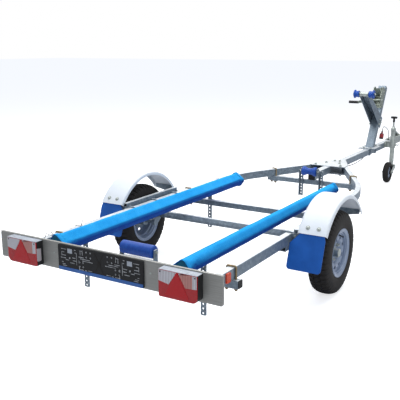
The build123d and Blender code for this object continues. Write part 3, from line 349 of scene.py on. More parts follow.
# Woven polyester webbing: dull grey-green with ribs of 2 mm
strap_webbing, tree, shader, own = surface("woven_polyester_webbing", Roughness=0.85)
weave = add(tree, "ShaderNodeTexWave", {"Vector": own, "Scale": 150.0, "Distortion": 0.6}, bands_direction="X")
tint(tree, shader, weave.outputs["Fac"], (0.2, "#34403c"), (0.8, "#566059"))
bump(tree, shader, weave.outputs["Fac"], 0.5, 0.0008)

# Plastic film: even blue, slightly glossy
strip_blue = speckled("printed_blue_film", 0.35, 18.0, 4.0, (0.3, "#1b55a0"), (0.7, "#2a68b2"))

# PVC sheath: dark grey, slightly dusty
cable_grey = speckled("dark_grey_pvc_sheath", 0.5, 60.0, 4.0, (0.3, "#3b3d41"), (0.7, "#565a5e"))

# Moulded nylon: dull dark red plug, scuffed pink on its edges
plug_red = speckled("moulded_red_nylon", 0.4, 90.0, 5.0, (0.35, "#7d1018"), (0.7, "#b03a40"))

finishes = {
    "galvanised": galvanised,
    "cap_black": black_plastic,
    "tyre_rubber": tyre_rubber,
    "rim_silver": rim_paint,
    "guard_white": guard_plastic,
    "flap_blue": flap_rubber,
    "carpet_blue": carpet,
    "roller_blue": roller_plastic,
    "board_grey": board_sheet,
    "holder_black": black_plastic,
    "lamp_red": lens_red,
    "reflector_orange": lens_orange,
    "winch_grey": winch_steel,
    "coupling_zinc": coupling_steel,
    "grip_black": black_plastic,
    "plug_red": plug_red,
}
for part in frame["record"]["subparts"]:
    node = frame["nodes"][part["node"]]
    node.data.materials.clear()
    node.data.materials.append(finishes[part["material_slot"]])
frame["nodes"]["frame_u_bolts"].data.materials[0] = yellow_steel
for name in ("jockey_tube", "jockey_leg", "jockey_fork", "jockey_clamp"):
    frame["nodes"][name].data.materials[0] = coupling_steel


# Shapes of the added pieces
def band(shape, low, high):
    """Faces between two closed loops of vertices."""
    for index in range(len(low)):
        after = (index + 1) % len(low)
        shape.faces.new((low[index], low[after], high[after], high[index]))


def turned(shape, origin, direction, profile, sides=24):
    """Solid of revolution from (distance, radius) pairs in millimetres along a direction, closed at both ends."""
    axis = Vector(direction).normalized()
    first = axis.orthogonal().normalized()
    second = axis.cross(first)
    rings = []
    for reach, radius in profile:
        ring = []
        for step in range(sides):
            angle = 2 * math.pi * step / sides
            out = first * math.cos(angle) + second * math.sin(angle)
            ring.append(shape.verts.new(Vector(origin) + (axis * reach + out * radius) / 1000))
        rings.append(ring)
    for low, high in zip(rings, rings[1:]):
        band(shape, low, high)
    shape.faces.new(list(reversed(rings[0])))
    shape.faces.new(rings[-1])


def block(shape, low, high):
    """Box between two corners in metres."""
    corners = [
        shape.verts.new((x, y, z)) for x in (low[0], high[0]) for y in (low[1], high[1]) for z in (low[2], high[2])
    ]
    for face in ((0, 1, 3, 2), (4, 6, 7, 5), (0, 4, 5, 1), (2, 3, 7, 6), (0, 2, 6, 4), (1, 5, 7, 3)):
        shape.faces.new([corners[index] for index in face])


def slab(shape, outline, thickness):
    """Plate from a flat outline of points in metres, thickened along a vector."""
    front = [shape.verts.new(point) for point in outline]
    back = [shape.verts.new(Vector(point) + Vector(thickness)) for point in outline]
    shape.faces.new(front)
    shape.faces.new(list(reversed(back)))
    for index in range(len(front)):
        after = (index + 1) % len(front)
        shape.faces.new((front[index], back[index], back[after], front[after]))


def settle(shape, name, finish, body, smooth=None, bevel=0.0):
    """Turns a shape into a piece with outward faces that rides on a body."""
    bmesh.ops.recalc_face_normals(shape, faces=shape.faces)
    mesh = bpy.data.meshes.new(name)
    shape.to_mesh(mesh)
    shape.free()
    mesh.materials.append(finish)
    piece = linked(name, mesh)
    if smooth is not None:
        mesh.shade_smooth()
        mesh.set_sharp_from_angle(angle=math.radians(smooth))
    if bevel:
        rounding = piece.modifiers.new("edge", "BEVEL")
        rounding.width = bevel / 1000
        rounding.segments = 2
        rounding.limit_method = "ANGLE"
    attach(piece, body)
    return piece


def nut(shape, origin, direction, across):
    """Hexagon nut with chamfered corners, a washer under it and the bolt's end above it."""
    washer, corner, thread = across * 0.62, across * 0.577, across * 0.29
    turned(shape, origin, direction, ((0, washer), (washer_height, washer)), 20)
    hexagon = ((washer_height, corner), (across * 0.5, corner), (across * 0.55, corner * 0.88))
    turned(shape, origin, direction, hexagon, 6)
    bolt = ((washer_height, thread), (across * 0.8, thread), (across * 0.85, across * 0.22))
    turned(shape, origin, direction, bolt, 12)


sides = (("left", -1), ("right", 1))
stay_reach = 298.5

# Nuts and washers of the frame's U-bolts: X, station and height of the plate's face, and the heading of the pair
bolt_leg = 25.5
pair_rows = (
    (rail_middle, 306, 314, 0.0), (rail_middle, 985, 324, 0.0), (rail_middle, 1235, 324, 0.0),
    (rail_middle, 1485, 324, 0.0), (rail_middle, 1670, 314, 0.0), (357.5, 2730, 314, 26.5),
)
shape = bmesh.new()
for offset, station, height, heading in pair_rows:
    for sign in (-1, 1):
        for step in (-bolt_leg, bolt_leg):
            run = step * math.cos(math.radians(heading))
            turn = step * math.sin(math.radians(heading))
            nut(shape, place(sign * (offset + run), station + turn, height), (0, 0, -1), 17)
settle(shape, "u_bolt_nuts", yellow_steel, "frame", smooth=30)

# Nuts on the plates of the winch post, and the bolts through the nose plates
nose_top, nose_bottom = 425, 355
shape = bmesh.new()
for sign in (-1, 1):
    for step in (-92, 92):
        nut(shape, place(sign * 35.5, post_station + step, post_base), (0, 0, 1), 17)
    for x, station in ((115, 3090), (62, 3215), (24, 3330)):
        nut(shape, place(sign * x, station, nose_top), (0, 0, 1), 19)
        nut(shape, place(sign * x, station, nose_bottom), (0, 0, -1), 19)
settle(shape, "post_and_nose_nuts", coupling_steel, "frame", smooth=30)

# Bolts of the uprights, the roller brackets and the mudguard angles
shape = bmesh.new()
for sign in (-1, 1):
    for face in (330, 1694):
        nut(shape, place(sign * bunk_middle, face, 340), (0, 1, 0), 13)
    for end in (-1, 1):
        nut(shape, place(sign * 600, axle_station + end * stay_reach, 408), (0, end, 0), 13)
    nut(shape, place(sign * 87, 2710, 340), (0, 1, 0), 13)
    nut(shape, place(sign * 112.5, roller_station, roller_height), (sign, 0, 0), 15)
    nut(shape, place(sign * 71, front_roller_station, front_roller_height), (sign, 0, 0), 15)
settle(shape, "bracket_nuts", coupling_steel, "frame", smooth=30)

# Dome nuts with wide washers that hold each mudflap to its mudguard
shape = bmesh.new()
for sign in (-1, 1):
    for x in (673, 737):
        out = Vector((0, -0.80, 0.6))
        dome = ((0, 13), (2, 13), (2, 9), (5, 8.5), (8, 6.5), (10, 3), (10.6, 0.6))
        turned(shape, place(sign * x, 975.5, 466), out, dome, 20)
settle(shape, "flap_dome_nuts", coupling_steel, "frame", smooth=40)

# Tyres: carcass with ribs on the wall, and zigzag grooves and shoulder lugs in the tread
tread_pitches = 44
tread_half = 52
tread_steps = 42
crown_drop = 13
wall_rings = (
    (-52.0, 127.0), (-52.0, 140.0), (-56.5, 146.0), (-61.0, 158.0), (-64.0, 174.0), (-65.0, 190.0), (-63.5, 206.0),
    (-61.0, 220.0), (-57.5, 232.0),
)
# Tread: gap between lugs as a share of a pitch, and each groove's place, half width and depth
shoulder_radius = 215
shoulder_lug = 3.0
lug_gap = 0.38
groove_middle, groove_half, groove_depth = 19.0, 2.6, 6.0
lug_inner = 27
rib_half, sipe_share, sipe_depth = 15, 0.045, 4.0


def carcass_radius(x):
    """Radius of the tread's surface at a distance from the tyre's middle."""
    return wheel_radius - crown_drop * (abs(x) / tread_half) ** 2.6


def between_lugs(x, turn):
    """Whether a share of a turn falls between two lugs; the right side's lie half a pitch on."""
    return abs((turn * tread_pitches + (0.5 if x > 0 else 0)) % 1 - 0.5) < lug_gap / 2


def tread_depth(x, turn):
    """Depth of the pattern at a distance from the middle and a share of a turn."""
    pitch = turn * tread_pitches
    zigzag = 4.0 * (abs(2 * (pitch % 1) - 1) - 0.5) * 2
    for sign in (-1, 1):
        if abs(x - sign * groove_middle - zigzag * sign) < groove_half:
            return groove_depth
    if abs(x) > lug_inner and between_lugs(x, turn):
        return groove_depth
    if abs(x) < rib_half and abs((pitch * 0.5 + x * 0.012) % 0.5 - 0.25) < sipe_share:
        return sipe_depth
    return 0.0


wheel_steps = 440
crossing = [-tread_half + 2 * tread_half * step / tread_steps for step in range(tread_steps + 1)]
for side, sign in sides:
    shape = bmesh.new()
    centre = place(sign * wheel_middle, axle_station, wheel_radius)
    outline = [(x, radius, False) for x, radius in wall_rings]
    outline += [(x, carcass_radius(x), True) for x in crossing]
    outline += [(-x, radius, False) for x, radius in reversed(wall_rings)]
    rings = []
    for x, radius, pattern in outline:
        ring = []
        for step in range(wheel_steps):
            turn = step / wheel_steps
            cut = tread_depth(x, turn) if pattern else 0.0
            if not pattern and radius > shoulder_radius and between_lugs(x, turn):
                cut = shoulder_lug
            angle = 2 * math.pi * turn
            reach = (radius - cut) / 1000
            ring.append(shape.verts.new(centre + Vector((x / 1000, reach * math.cos(angle), reach * math.sin(angle)))))
        rings.append(ring)
    for low, high in zip(rings, rings[1:] + rings[:1]):
        band(shape, low, high)
    tyre = settle(shape, f"tyre_with_tread_{side}", tyre_rubber, f"wheel_{side}", smooth=32)
    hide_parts(f"tyre_{side}")

# Wheel nuts, hub cap and valve of each rim
for side, sign in sides:
    shape = bmesh.new()
    centre = place(sign * wheel_middle, axle_station, wheel_radius)
    for step in range(4):
        angle = math.radians(45 + 90 * step)
        spot = centre + Vector((sign * 16 / 1000, 0.049 * math.cos(angle), 0.049 * math.sin(angle)))
        turned(shape, spot, (sign, 0, 0), ((0, 12), (3, 11), (3, 10), (13, 10), (15, 8.4)), 6)
        turned(shape, spot, (sign, 0, 0), ((3, 5.5), (20, 5.5), (21, 4.5)), 12)
    hub_cap = ((0, 24.6), (3, 24), (5, 21), (6, 14), (6.4, 2))
    turned(shape, centre + Vector((sign * 45.8 / 1000, 0, 0)), (sign, 0, 0), hub_cap, 28)
    settle(shape, f"wheel_nuts_{side}", coupling_steel, f"wheel_{side}", smooth=35)
    shape = bmesh.new()
    valve = centre + Vector((sign * 34 / 1000, 0, 0.112))
    turned(shape, valve, (sign, 0, -0.35), ((0, 5.5), (10, 5), (11, 3.8), (30, 3.4), (30.5, 4.6), (38, 4.4)), 14)
    settle(shape, f"valve_{side}", black_plastic, f"wheel_{side}", smooth=35)

# Bunk pads: carpet round a timber, puffed a little by its backing, with an open folded hem at both ends
puff_limit = 0.004
puff_frames = 20
bunk_tilt = 38
bunk_half = (51, 35)
bunk_corner = 20


def shaped(piece):
    """Mesh of a piece as its modifiers leave it."""
    return bpy.data.meshes.new_from_object(piece.evaluated_get(bpy.context.evaluated_depsgraph_get()))


for side, _ in sides:
    pad = linked(f"bunk_carpet_{side}", frame["nodes"][f"bunk_pad_{side}"].data.copy())
    skin = pad.modifiers.new("skin", "REMESH")
    skin.mode = "VOXEL"
    skin.voxel_size = 0.006
    soften = pad.modifiers.new("soften", "SMOOTH")
    soften.iterations = 8
    pad.data = shaped(pad)
    pad.modifiers.clear()
    rest = [vertex.co.copy() for vertex in pad.data.vertices]
    puffed = pad.data
    cloth = pad.modifiers.new("backing", "CLOTH")
    cloth.settings.quality = 3
    cloth.settings.use_pressure = True
    cloth.settings.uniform_pressure_force = 4
    cloth.settings.effector_weights.gravity = 0
    cloth.point_cache.frame_start = 1
    cloth.point_cache.frame_end = puff_frames
    for step in range(1, puff_frames + 1):
        scene.frame_set(step)
    puffed = shaped(pad)
    pad.modifiers.clear()
    scene.frame_set(1)
    outward = [vertex.normal.copy() for vertex in puffed.vertices]
    for vertex, start, normal in zip(puffed.vertices, rest, outward):
        move = vertex.co - start
        if move.length > puff_limit:
            move *= puff_limit / move.length
        vertex.co = start + move + normal * noise.noise(start * 9.0) * 0.0012
    pad.data = puffed
    finer = pad.modifiers.new("finer", "SUBSURF")
    finer.levels = finer.render_levels = 1
    pad.data = shaped(pad)
    pad.modifiers.clear()
    pad.data.shade_smooth()
    pad.data.materials.clear()
    pad.data.materials.append(carpet)
    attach(pad, "frame")
    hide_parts(f"bunk_pad_{side}")


def bunk_outline(sign, grow, station, count=10):
    """Points round a bunk's section, grown outwards, at a station."""
    tilt = math.radians(sign * bunk_tilt)
    points = []
    for quarter, (across, up) in enumerate(((1, 1), (-1, 1), (-1, -1), (1, -1))):
        middle = (across * (bunk_half[0] - bunk_corner), up * (bunk_half[1] - bunk_corner))
        for step in range(count):
            angle = math.radians(90 * (quarter + step / (count - 1)))
            u = middle[0] + (bunk_corner + grow) * math.cos(angle)
            v = middle[1] + (bunk_corner + grow) * math.sin(angle)
            x = sign * bunk_middle + u * math.cos(tilt) - v * math.sin(tilt)
            z = bunk_height + u * math.sin(tilt) + v * math.cos(tilt)
            points.append(place(x, station, z))
    return points


for side, sign in sides:
    hem = bmesh.new()
    closing = bmesh.new()
    for station, out in ((120, -1), (2120, 1)):
        loops = []
        for grow, reach in ((2.5, -16), (3.4, -6), (3.0, 6), (0.5, 8.5), (-2.0, 7.5), (-4.0, 2)):
            loops.append([hem.verts.new(point) for point in bunk_outline(sign, grow, station + out * reach)])
        for low, high in zip(loops, loops[1:]):
            band(hem, low, high)
        slab(closing, bunk_outline(sign, -3.5, station + out * 5.0), (0, -out * 0.004, 0))
    settle(hem, f"carpet_hem_{side}", carpet, "frame", smooth=60)
    settle(closing, f"pad_end_{side}", pad_end, "frame")

# Lamps: a rounded red body on a black housing, clear and pink upper windows, a triangle and a pale top
lamp_front = -49.6
lamp_split = -28
housing_lip = 16
lamp_low, lamp_high = 355, 485
lamp_rounding = 26
window_depth = 0.0015


def lamp_outline(sign, inset):
    """Lamp's outline as X and height pairs: its outer lower corner is rounded more than the others."""
    inner, outer = sign * (lamp_middle - lamp_half + inset), sign * (lamp_middle + lamp_half - inset)
    low, high = lamp_low + inset, lamp_high - inset
    points = []
    for x, z, toward_x, toward_z, radius in (
        (inner, low, 1, 1, 8), (outer, low, -1, 1, lamp_rounding), (outer, high, -1, -1, 4), (inner, high, 1, -1, 4),
    ):
        radius = max(radius - inset, 1)
        hub = (x + toward_x * sign * radius, z + toward_z * radius)
        from_side = (toward_x * toward_z) > 0
        for step in range(7):
            angle = math.radians(90 * step / 6)
            along, up = (math.cos(angle), math.sin(angle)) if from_side else (math.sin(angle), math.cos(angle))
            points.append((hub[0] - toward_x * sign * radius * along, hub[1] - toward_z * radius * up))
    return points


housings = bmesh.new()
bodies = bmesh.new()
for sign in (-1, 1):
    rim = lamp_outline(sign, 0)
    slab(housings, [place(x, lamp_split, z) for x, z in rim], (0, -lamp_split / 1000, 0))
    slab(housings, [place(x, lamp_split - housing_lip, z) for x, z in rim], (0, housing_lip / 1000, 0))
    slab(bodies, [place(x, lamp_front, z) for x, z in lamp_outline(sign, 0.6)], (0, 0.008, 0))
housing_piece = settle(housings, "lamp_housings_rounded", black_plastic, "frame", smooth=30)
body_piece = settle(bodies, "lamp_bodies_rounded", lens_red, "frame", smooth=30, bevel=1.5)
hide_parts("lamp_housings")
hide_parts("lamp_lenses")

# Outlines on the lamp's face, as distances from its middle and heights; both lamps are alike, not mirrored
clear_windows = (
    ((-100, 432), (-46, 422), (-8, 478), (-8, 482.5), (-100, 482.5)),
    ((8, 482.5), (8, 476), (60, 482.5)),
    ((78, 422), (100, 424), (100, 482.5), (78, 482.5)),
)
turn_window = ((8, 476), (42, 420), (78, 422), (78, 482.5), (20, 482.5))
triangle_outline = ((-66, 374), (-61, 368), (53, 368), (58, 374), (0, 480), (-8, 480))
side_window = ((-46, 385), (-40, 380), (-20, 380), (-16, 385), (-16, 445), (-46, 450))
for side, sign in sides:
    middle = sign * lamp_middle
    face = lamp_front - 0.8
    clear = bmesh.new()
    for outline in clear_windows:
        slab(clear, [place(middle + x, face, z) for x, z in outline], (0, window_depth, 0))
    settle(clear, f"lamp_clear_window_{side}", lens_clear, "frame")
    pink = bmesh.new()
    slab(pink, [place(middle + x, face, z) for x, z in turn_window], (0, window_depth, 0))
    settle(pink, f"lamp_turn_window_{side}", lens_pink, "frame")
    triangle = bmesh.new()
    slab(triangle, [place(middle + x, face - 1.6, z) for x, z in triangle_outline], (0, 0.003, 0))
    settle(triangle, f"lamp_triangle_{side}", lens_triangle, "frame", bevel=0.8)
    trim = bmesh.new()
    block(trim, place(middle - 101.5, lamp_front + 0.5, lamp_high - 1), place(middle + 101.5, -1, lamp_high + 1.2))
    for step in range(9):
        x = middle - 88 + 22 * step
        block(trim, place(x - 1.2, lamp_front + 3, lamp_high + 0.8), place(x + 1.2, -4, lamp_high + 2.2))
    settle(trim, f"lamp_top_{side}", lamp_top, "frame", bevel=0.6)
    plate_window = bmesh.new()
    inner = sign * (lamp_middle - lamp_half - 0.8)
    slab(plate_window, [place(inner, y, z) for y, z in side_window], (sign * window_depth, 0, 0))
    settle(plate_window, f"lamp_plate_window_{side}", lens_clear, "frame")
    screws = bmesh.new()
    for x in (middle - 92, middle + 92):
        turned(screws, place(x, face, lamp_high - 10), (0, -1, 0), ((0, 3.6), (1.0, 3.2), (1.4, 2)), 14)
    settle(screws, f"lamp_screws_{side}", black_plastic, "frame", smooth=40)

# Number plate holder: a black panel with pale raised clips and slots, a dark crossed brace and a blue strip
shape = bmesh.new()
block(shape, place(-259, -8.6, plate_middle - 61), place(259, -3.0, plate_middle + 61))
settle(shape, "holder_panel", black_plastic, "frame", bevel=0.6)
shape = bmesh.new()
for lean in (-1, 1):
    foot, head = place(-lean * 27, -9.2, plate_middle - 46), place(lean * 27, -9.2, plate_middle + 58)
    across = Vector((0.0028, 0, 0.0012))
    slab(shape, [foot - across, foot + across, head + across, head - across], (0, 0.001, 0))
turned(shape, place(0, -8.4, plate_middle + 4), (0, -1, 0), ((0, 11), (1.4, 11), (1.6, 9)), 24)
settle(shape, "holder_brace", tyre_rubber, "frame")
shape = bmesh.new()
clip_front, clip_back = -9.3, -8.2
# Raised bars: distance from the middle, rise, width and height
bars = (
    (226, 46, 34, 3.2), (232, 30, 16, 3), (226, 14, 26, 3.4), (230, 0, 34, 3.4), (204, -8, 22, 3.4),
    (236, -22, 10, 3), (228, -32, 22, 3.2), (222, -40, 26, 3.2), (160, 8, 22, 3.4), (158, -6, 20, 3.4),
    (170, -20, 30, 3.4), (240, 20, 3, 22), (143, 6, 2.6, 64), (152, 50, 10, 3.4), (150, 36, 8, 4),
    (118, 40, 3, 20), (104, 44, 3, 26), (112, 52, 18, 3), (112, 20, 34, 3.2), (88, 12, 62, 3.2),
    (72, 3, 66, 3.2), (128, -6, 3, 14), (126, -40, 3, 18), (112, -44, 26, 3.2), (84, -44, 12, 3.2),
    (58, -42, 26, 2.4),
)


def raised(x, z, width, height):
    """Raised bar on the holder's face."""
    block(shape, place(x - width / 2, clip_front, z - height / 2), place(x + width / 2, clip_back, z + height / 2))


for middle, rise, width, height in bars:
    for sign in (1, -1):
        raised(sign * middle, plate_middle + rise, width, height)
for middle, rise, half in ((66, 38, 13), (112, -18, 11)):
    for sign in (1, -1):
        for corner_x in (-1, 1):
            for corner_z in (-1, 1):
                x, z = sign * middle + corner_x * half, plate_middle + rise + corner_z * half
                raised(x, z, 9, 2.8)
                raised(x, z, 2.8, 9)
for sign in (-1, 1):
    turned(shape, place(sign * 188, clip_back, plate_middle + 4), (0, -1, 0), ((0, 5), (1.6, 4.6), (2.2, 3)), 14)
settle(shape, "holder_clips", holder_edge, "frame")
shape = bmesh.new()
for sign in (-1, 1):
    block(shape, place(sign * 186 - 15, -9.0, plate_middle + 28), place(sign * 186 + 15, clip_back, plate_middle + 52))
settle(shape, "holder_pads", lamp_top, "frame", bevel=0.5)
shape = bmesh.new()
block(shape, place(-262, -9.4, plate_middle - 66), place(262, -7.9, plate_middle - 48))
settle(shape, "holder_blue_strip", strip_blue, "frame")


# Uprights of the bunks: folded perforated bars, so that the holes let the background through
def perforated_bar(shape, middle, face, low, high, width=30, depth=10, wall=3, hole=5.2, pitch=25):
    """Upright bar with a row of round holes through its web and two narrow turned edges."""
    count = int((high - low) / pitch)
    steps = 16
    for index in range(count):
        base = low + pitch * index
        top = base + pitch if index < count - 1 else high
        centre = base + pitch / 2
        faces = []
        for y in (face, face + wall):
            frame_ring, hole_ring = [], []
            for step in range(steps):
                angle = 2 * math.pi * (step + 0.5) / steps
                c, d = math.cos(angle), math.sin(angle)
                stretch = 1 / max(abs(c), abs(d))
                x = middle + c * stretch * width / 2
                z = centre + d * stretch * pitch / 2
                if d * stretch > 0.99:
                    z = top
                frame_ring.append(shape.verts.new(place(x, y, z)))
                hole_ring.append(shape.verts.new(place(middle + c * hole, y, centre + d * hole)))
            faces.append((frame_ring, hole_ring))
        for step in range(steps):
            after = (step + 1) % steps
            for frame_ring, hole_ring in faces:
                shape.faces.new((frame_ring[step], frame_ring[after], hole_ring[after], hole_ring[step]))
            (near_frame, near_hole), (far_frame, far_hole) = faces
            shape.faces.new((near_hole[step], near_hole[after], far_hole[after], far_hole[step]))
            shape.faces.new((near_frame[step], near_frame[after], far_frame[after], far_frame[step]))
    for edge in (-1, 1):
        outer = middle + edge * width / 2
        near, far = sorted((outer, outer - edge * wall))
        block(shape, place(near, face + wall, low), place(far, face + depth, high))


shape = bmesh.new()
for sign in (-1, 1):
    for station, low in ((326, 122), (1690, 142)):
        perforated_bar(shape, sign * bunk_middle, station, low, 400)
uprights = settle(shape, "bunk_uprights_perforated", galvanised, "frame")
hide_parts("bunk_uprights")

# Rims: rolled lips, stepped barrel with a drop centre, and a dished disc with eight vents
rim_lip = (
    (56.5, 147), (59, 147.2), (60, 144.5), (58, 141), (55.5, 137), (54.4, 131), (53, 127), (50, 124.6), (44, 123.6),
    (42, 117.5), (34, 116.5), (31, 107), (31, 103),
)
disc_face = ((36, 98), (38, 90), (37, 80), (33, 74), (24, 67), (17, 63), (16, 58), (16, 30))
disc_back = ((12, 30), (12, 60), (14, 66), (22, 72), (29, 77), (33, 80), (34, 90), (31, 98), (25, 104))
rim_barrel = (
    (18, 110), (-18, 110), (-22, 117), (-40, 118.5), (-44, 123.6), (-50, 124.6), (-53, 127), (-54.4, 131),
    (-55.5, 137), (-58, 141), (-60, 144.5), (-59, 147.2), (-56.5, 147),
)
rim_hidden = (
    (-55.5, 143), (-53.2, 136), (-52.6, 131), (-50, 126.8), (-42, 126.6), (-38, 121.5), (-22, 121), (-16, 114),
    (18, 114), (28, 121), (38, 121.5), (42, 126.6), (50, 126.8), (52.6, 131), (53.2, 136), (55.5, 143),
)
rim_loop = rim_lip + disc_face + disc_back + rim_barrel + rim_hidden
vent_face = [rim_loop.index(point) for point in ((36, 98), (38, 90), (37, 80))]
vent_back = [rim_loop.index(point) for point in ((31, 98), (34, 90), (33, 80))]
rim_turns = 96
vent_turns = rim_turns // 8
vent_open = range(4, 8)
for side, sign in sides:
    shape = bmesh.new()
    rings = []
    for along, radius in rim_loop:
        ring = []
        for step in range(rim_turns):
            angle = 2 * math.pi * step / rim_turns
            ring.append(shape.verts.new(
                place(sign * (wheel_middle + along), axle_station, wheel_radius)
                + Vector((0, radius * math.cos(angle), radius * math.sin(angle))) / 1000
            ))
        rings.append(ring)
    open_pairs = {tuple(sorted(pair)) for row in (vent_face, vent_back) for pair in zip(row, row[1:])}
    for index in range(len(rings)):
        beyond = (index + 1) % len(rings)
        for step in range(rim_turns):
            if tuple(sorted((index, beyond))) in open_pairs and step % vent_turns in vent_open:
                continue
            after = (step + 1) % rim_turns
            shape.faces.new((rings[index][step], rings[index][after], rings[beyond][after], rings[beyond][step]))
    for start in range(0, rim_turns, vent_turns):
        first, last = start + vent_open[0], start + vent_open[-1] + 1
        for step in range(first, last):
            for end in (0, 2):
                face_ring, back_ring = rings[vent_face[end]], rings[vent_back[end]]
                shape.faces.new((face_ring[step], face_ring[step + 1], back_ring[step + 1], back_ring[step]))
        for step in (first, last):
            for low, high in ((0, 1), (1, 2)):
                shape.faces.new((
                    rings[vent_face[low]][step], rings[vent_face[high]][step],
                    rings[vent_back[high]][step], rings[vent_back[low]][step],
                ))
    rim = settle(shape, f"rim_pressed_{side}", rim_paint, f"wheel_{side}", smooth=32)
    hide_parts(f"rim_{side}")

# Cable ties round the left rail, with their tails up
shape = bmesh.new()
for station, lean, tail in ((170, 0.5, 34), (245, -0.7, 30), (470, 0.3, 38), (2080, 0.4, 26)):
    block(
        shape, place(-rail_middle - 26.2, station - 2.5, rail_top - 61.4),
        place(-rail_middle + 26.2, station + 2.5, rail_top + 1.6),
    )
    tip_x, tip_station, tip_height = -538 + 12 * lean, station + 26 * lean, rail_top + tail
    slab(shape, [
        place(-540, station - 2, rail_top), place(-540, station + 2, rail_top),
        place(tip_x, tip_station + 2, tip_height), place(tip_x, tip_station - 2, tip_height),
    ], (0.0014, 0, 0))
settle(shape, "cable_ties", black_plastic, "frame")

# Board: folded bright upper edge and its fixing screws
shape = bmesh.new()
block(shape, place(-682.5, -0.5, 486.5), place(682.5, 14, 491.0))
settle(shape, "board_upper_fold", board_sheet, "frame", bevel=0.8)
shape = bmesh.new()
for sign in (-1, 1):
    for height in (400, 440):
        head = ((0, 9), (1.5, 9), (1.5, 6), (4.5, 4.5), (5, 2))
        turned(shape, place(sign * rail_middle, 0, height), (0, -1, 0), head, 18)
    turned(shape, place(sign * 300, 0, 432), (0, -1, 0), ((0, 5), (1.6, 4.6), (2, 3)), 16)
settle(shape, "board_screws", coupling_steel, "frame", smooth=40)

# Cables: each follows the route of its solid, and its spline rounds the corners
tow_route = (
    (8, 4965, 436), (10, 4963, 478), (18, 4925, 522), (26, 4850, 556), (31, 4765, 584),
    (34, 4695, 600), (36, 4640, 604), (38, 4608, 584), (38, 4597, 553),
)
drawbar_route = (
    (20, 3465, 372), (20, 3525, 352), (20, 3615, 341), (20, 3725, 336), (20, 3840, 337),
    (20, 3950, 343), (20, 4045, 354), (20, 4100, 372),
)


def cord(name, route, size, finish):
    """Round cable whose spline has the route's points as its control points."""
    curve = bpy.data.curves.new(name, "CURVE")
    curve.dimensions = "3D"
    curve.bevel_depth = size / 2000
    curve.bevel_resolution = 3
    curve.resolution_u = 12
    curve.use_fill_caps = True
    spline = curve.splines.new("NURBS")
    spline.points.add(len(route) - 1)
    for point, (x, station, height) in zip(spline.points, route):
        point.co = (*place(x, station, height), 1)
    spline.order_u = 3
    spline.use_endpoint_u = True
    curve.materials.append(finish)
    made = linked(name, curve)
    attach(made, "frame")
    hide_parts(name.replace("_sheath", ""))
    return made


tow_cable = cord("tow_cable_sheath", tow_route, 7, cable_grey)
drawbar_cable = cord("drawbar_cable_sheath", drawbar_route, 8, cable_grey)

# Tow plug: a grey collar and ribs on the moulded body, and a boot where the cable goes in
plug_top = place(*tow_route[-1])
plug_down = (plug_top - place(*tow_route[-2])).normalized()
shape = bmesh.new()
turned(shape, plug_top - plug_down * 0.02, plug_down, ((0, 4.2), (4, 5.2), (12, 7.5), (20, 10.4), (22, 10.4)), 24)
turned(shape, plug_top + plug_down * 0.017, plug_down, ((0, 12), (1, 21.8), (6, 21.8), (7, 19)), 32)
turned(shape, plug_top + plug_down * 0.0625, plug_down, ((0, 21.2), (1, 22.6), (9, 22.6), (10, 21.6), (11, 17)), 32)
plug_collar = settle(shape, "tow_plug_collar", black_plastic, "frame", smooth=35)
shape = bmesh.new()
first = plug_down.orthogonal().normalized()
second = plug_down.cross(first)
rib_count = 10
for step in range(rib_count):
    angle = 2 * math.pi * step / rib_count
    out = first * math.cos(angle) + second * math.sin(angle)
    turned(shape, plug_top + plug_down * 0.026 + out * 0.0202, plug_down, ((0, 1.6), (1, 2.2), (33, 2.2), (34, 1.6)), 8)
plug_ribs = settle(shape, "tow_plug_ribs", plug_red, "frame", smooth=40)

# Winch: webbing on the drum, a gear on its shaft, and the bolts of the side plates
post_foot = Vector((post_station, post_base))
post_head = Vector((4655, 1024))
post_up = (post_head - post_foot).normalized()
post_off = Vector((-post_up.y, post_up.x))


def on_post(x, along, off):
    """Point at a distance up the post and off its rear side, in millimetres from the middle of its foot."""
    station, height = post_foot + post_up * along + post_off * off
    return place(x, station, height)


shape = bmesh.new()
turned(shape, on_post(-33, drum_along, winch_off), (1, 0, 0), ((0, 40), (2, 41.5), (64, 41.5), (66, 40)), 40)
settle(shape, "webbing_on_drum", strap_webbing, "winch_drum", smooth=40)
shape = bmesh.new()
gear_teeth = 36
outline = []
for step in range(gear_teeth * 4):
    angle = 2 * math.pi * step / (gear_teeth * 4)
    radius = 49 if step % 4 < 2 else 45.5
    outline.append(on_post(-41.6, drum_along + radius * math.cos(angle), winch_off + radius * math.sin(angle)))
slab(shape, outline, (0.005, 0, 0))
settle(shape, "winch_gear", coupling_steel, "winch_drum")
shape = bmesh.new()
for sign in (-1, 1):
    for along, off, across in ((drum_along, winch_off, 17), (452, 36, 13)):
        nut(shape, on_post(sign * 46, along, off), (sign, 0, 0), across)
turned(shape, on_post(52, crank_along, winch_off), (1, 0, 0), ((0, 15), (2, 15), (2, 9), (9, 8)), 18)
settle(shape, "winch_nuts", coupling_steel, "frame", smooth=30)

# Snubber arm: two tapered plates and a web on their upper side, open towards the rear, with the rollers' pin
arm_root = Vector((4464.5, 690))
arm_reach = Vector(bow_pin) - arm_root
arm_length = arm_reach.length
arm_out = arm_reach.normalized()
arm_down = Vector((-arm_out.y, arm_out.x))


def on_arm(x, along, down):
    """Point along the snubber arm and towards its open side, in millimetres from its root in the post."""
    station, height = arm_root + arm_out * along + arm_down * down
    return place(x, station, height)


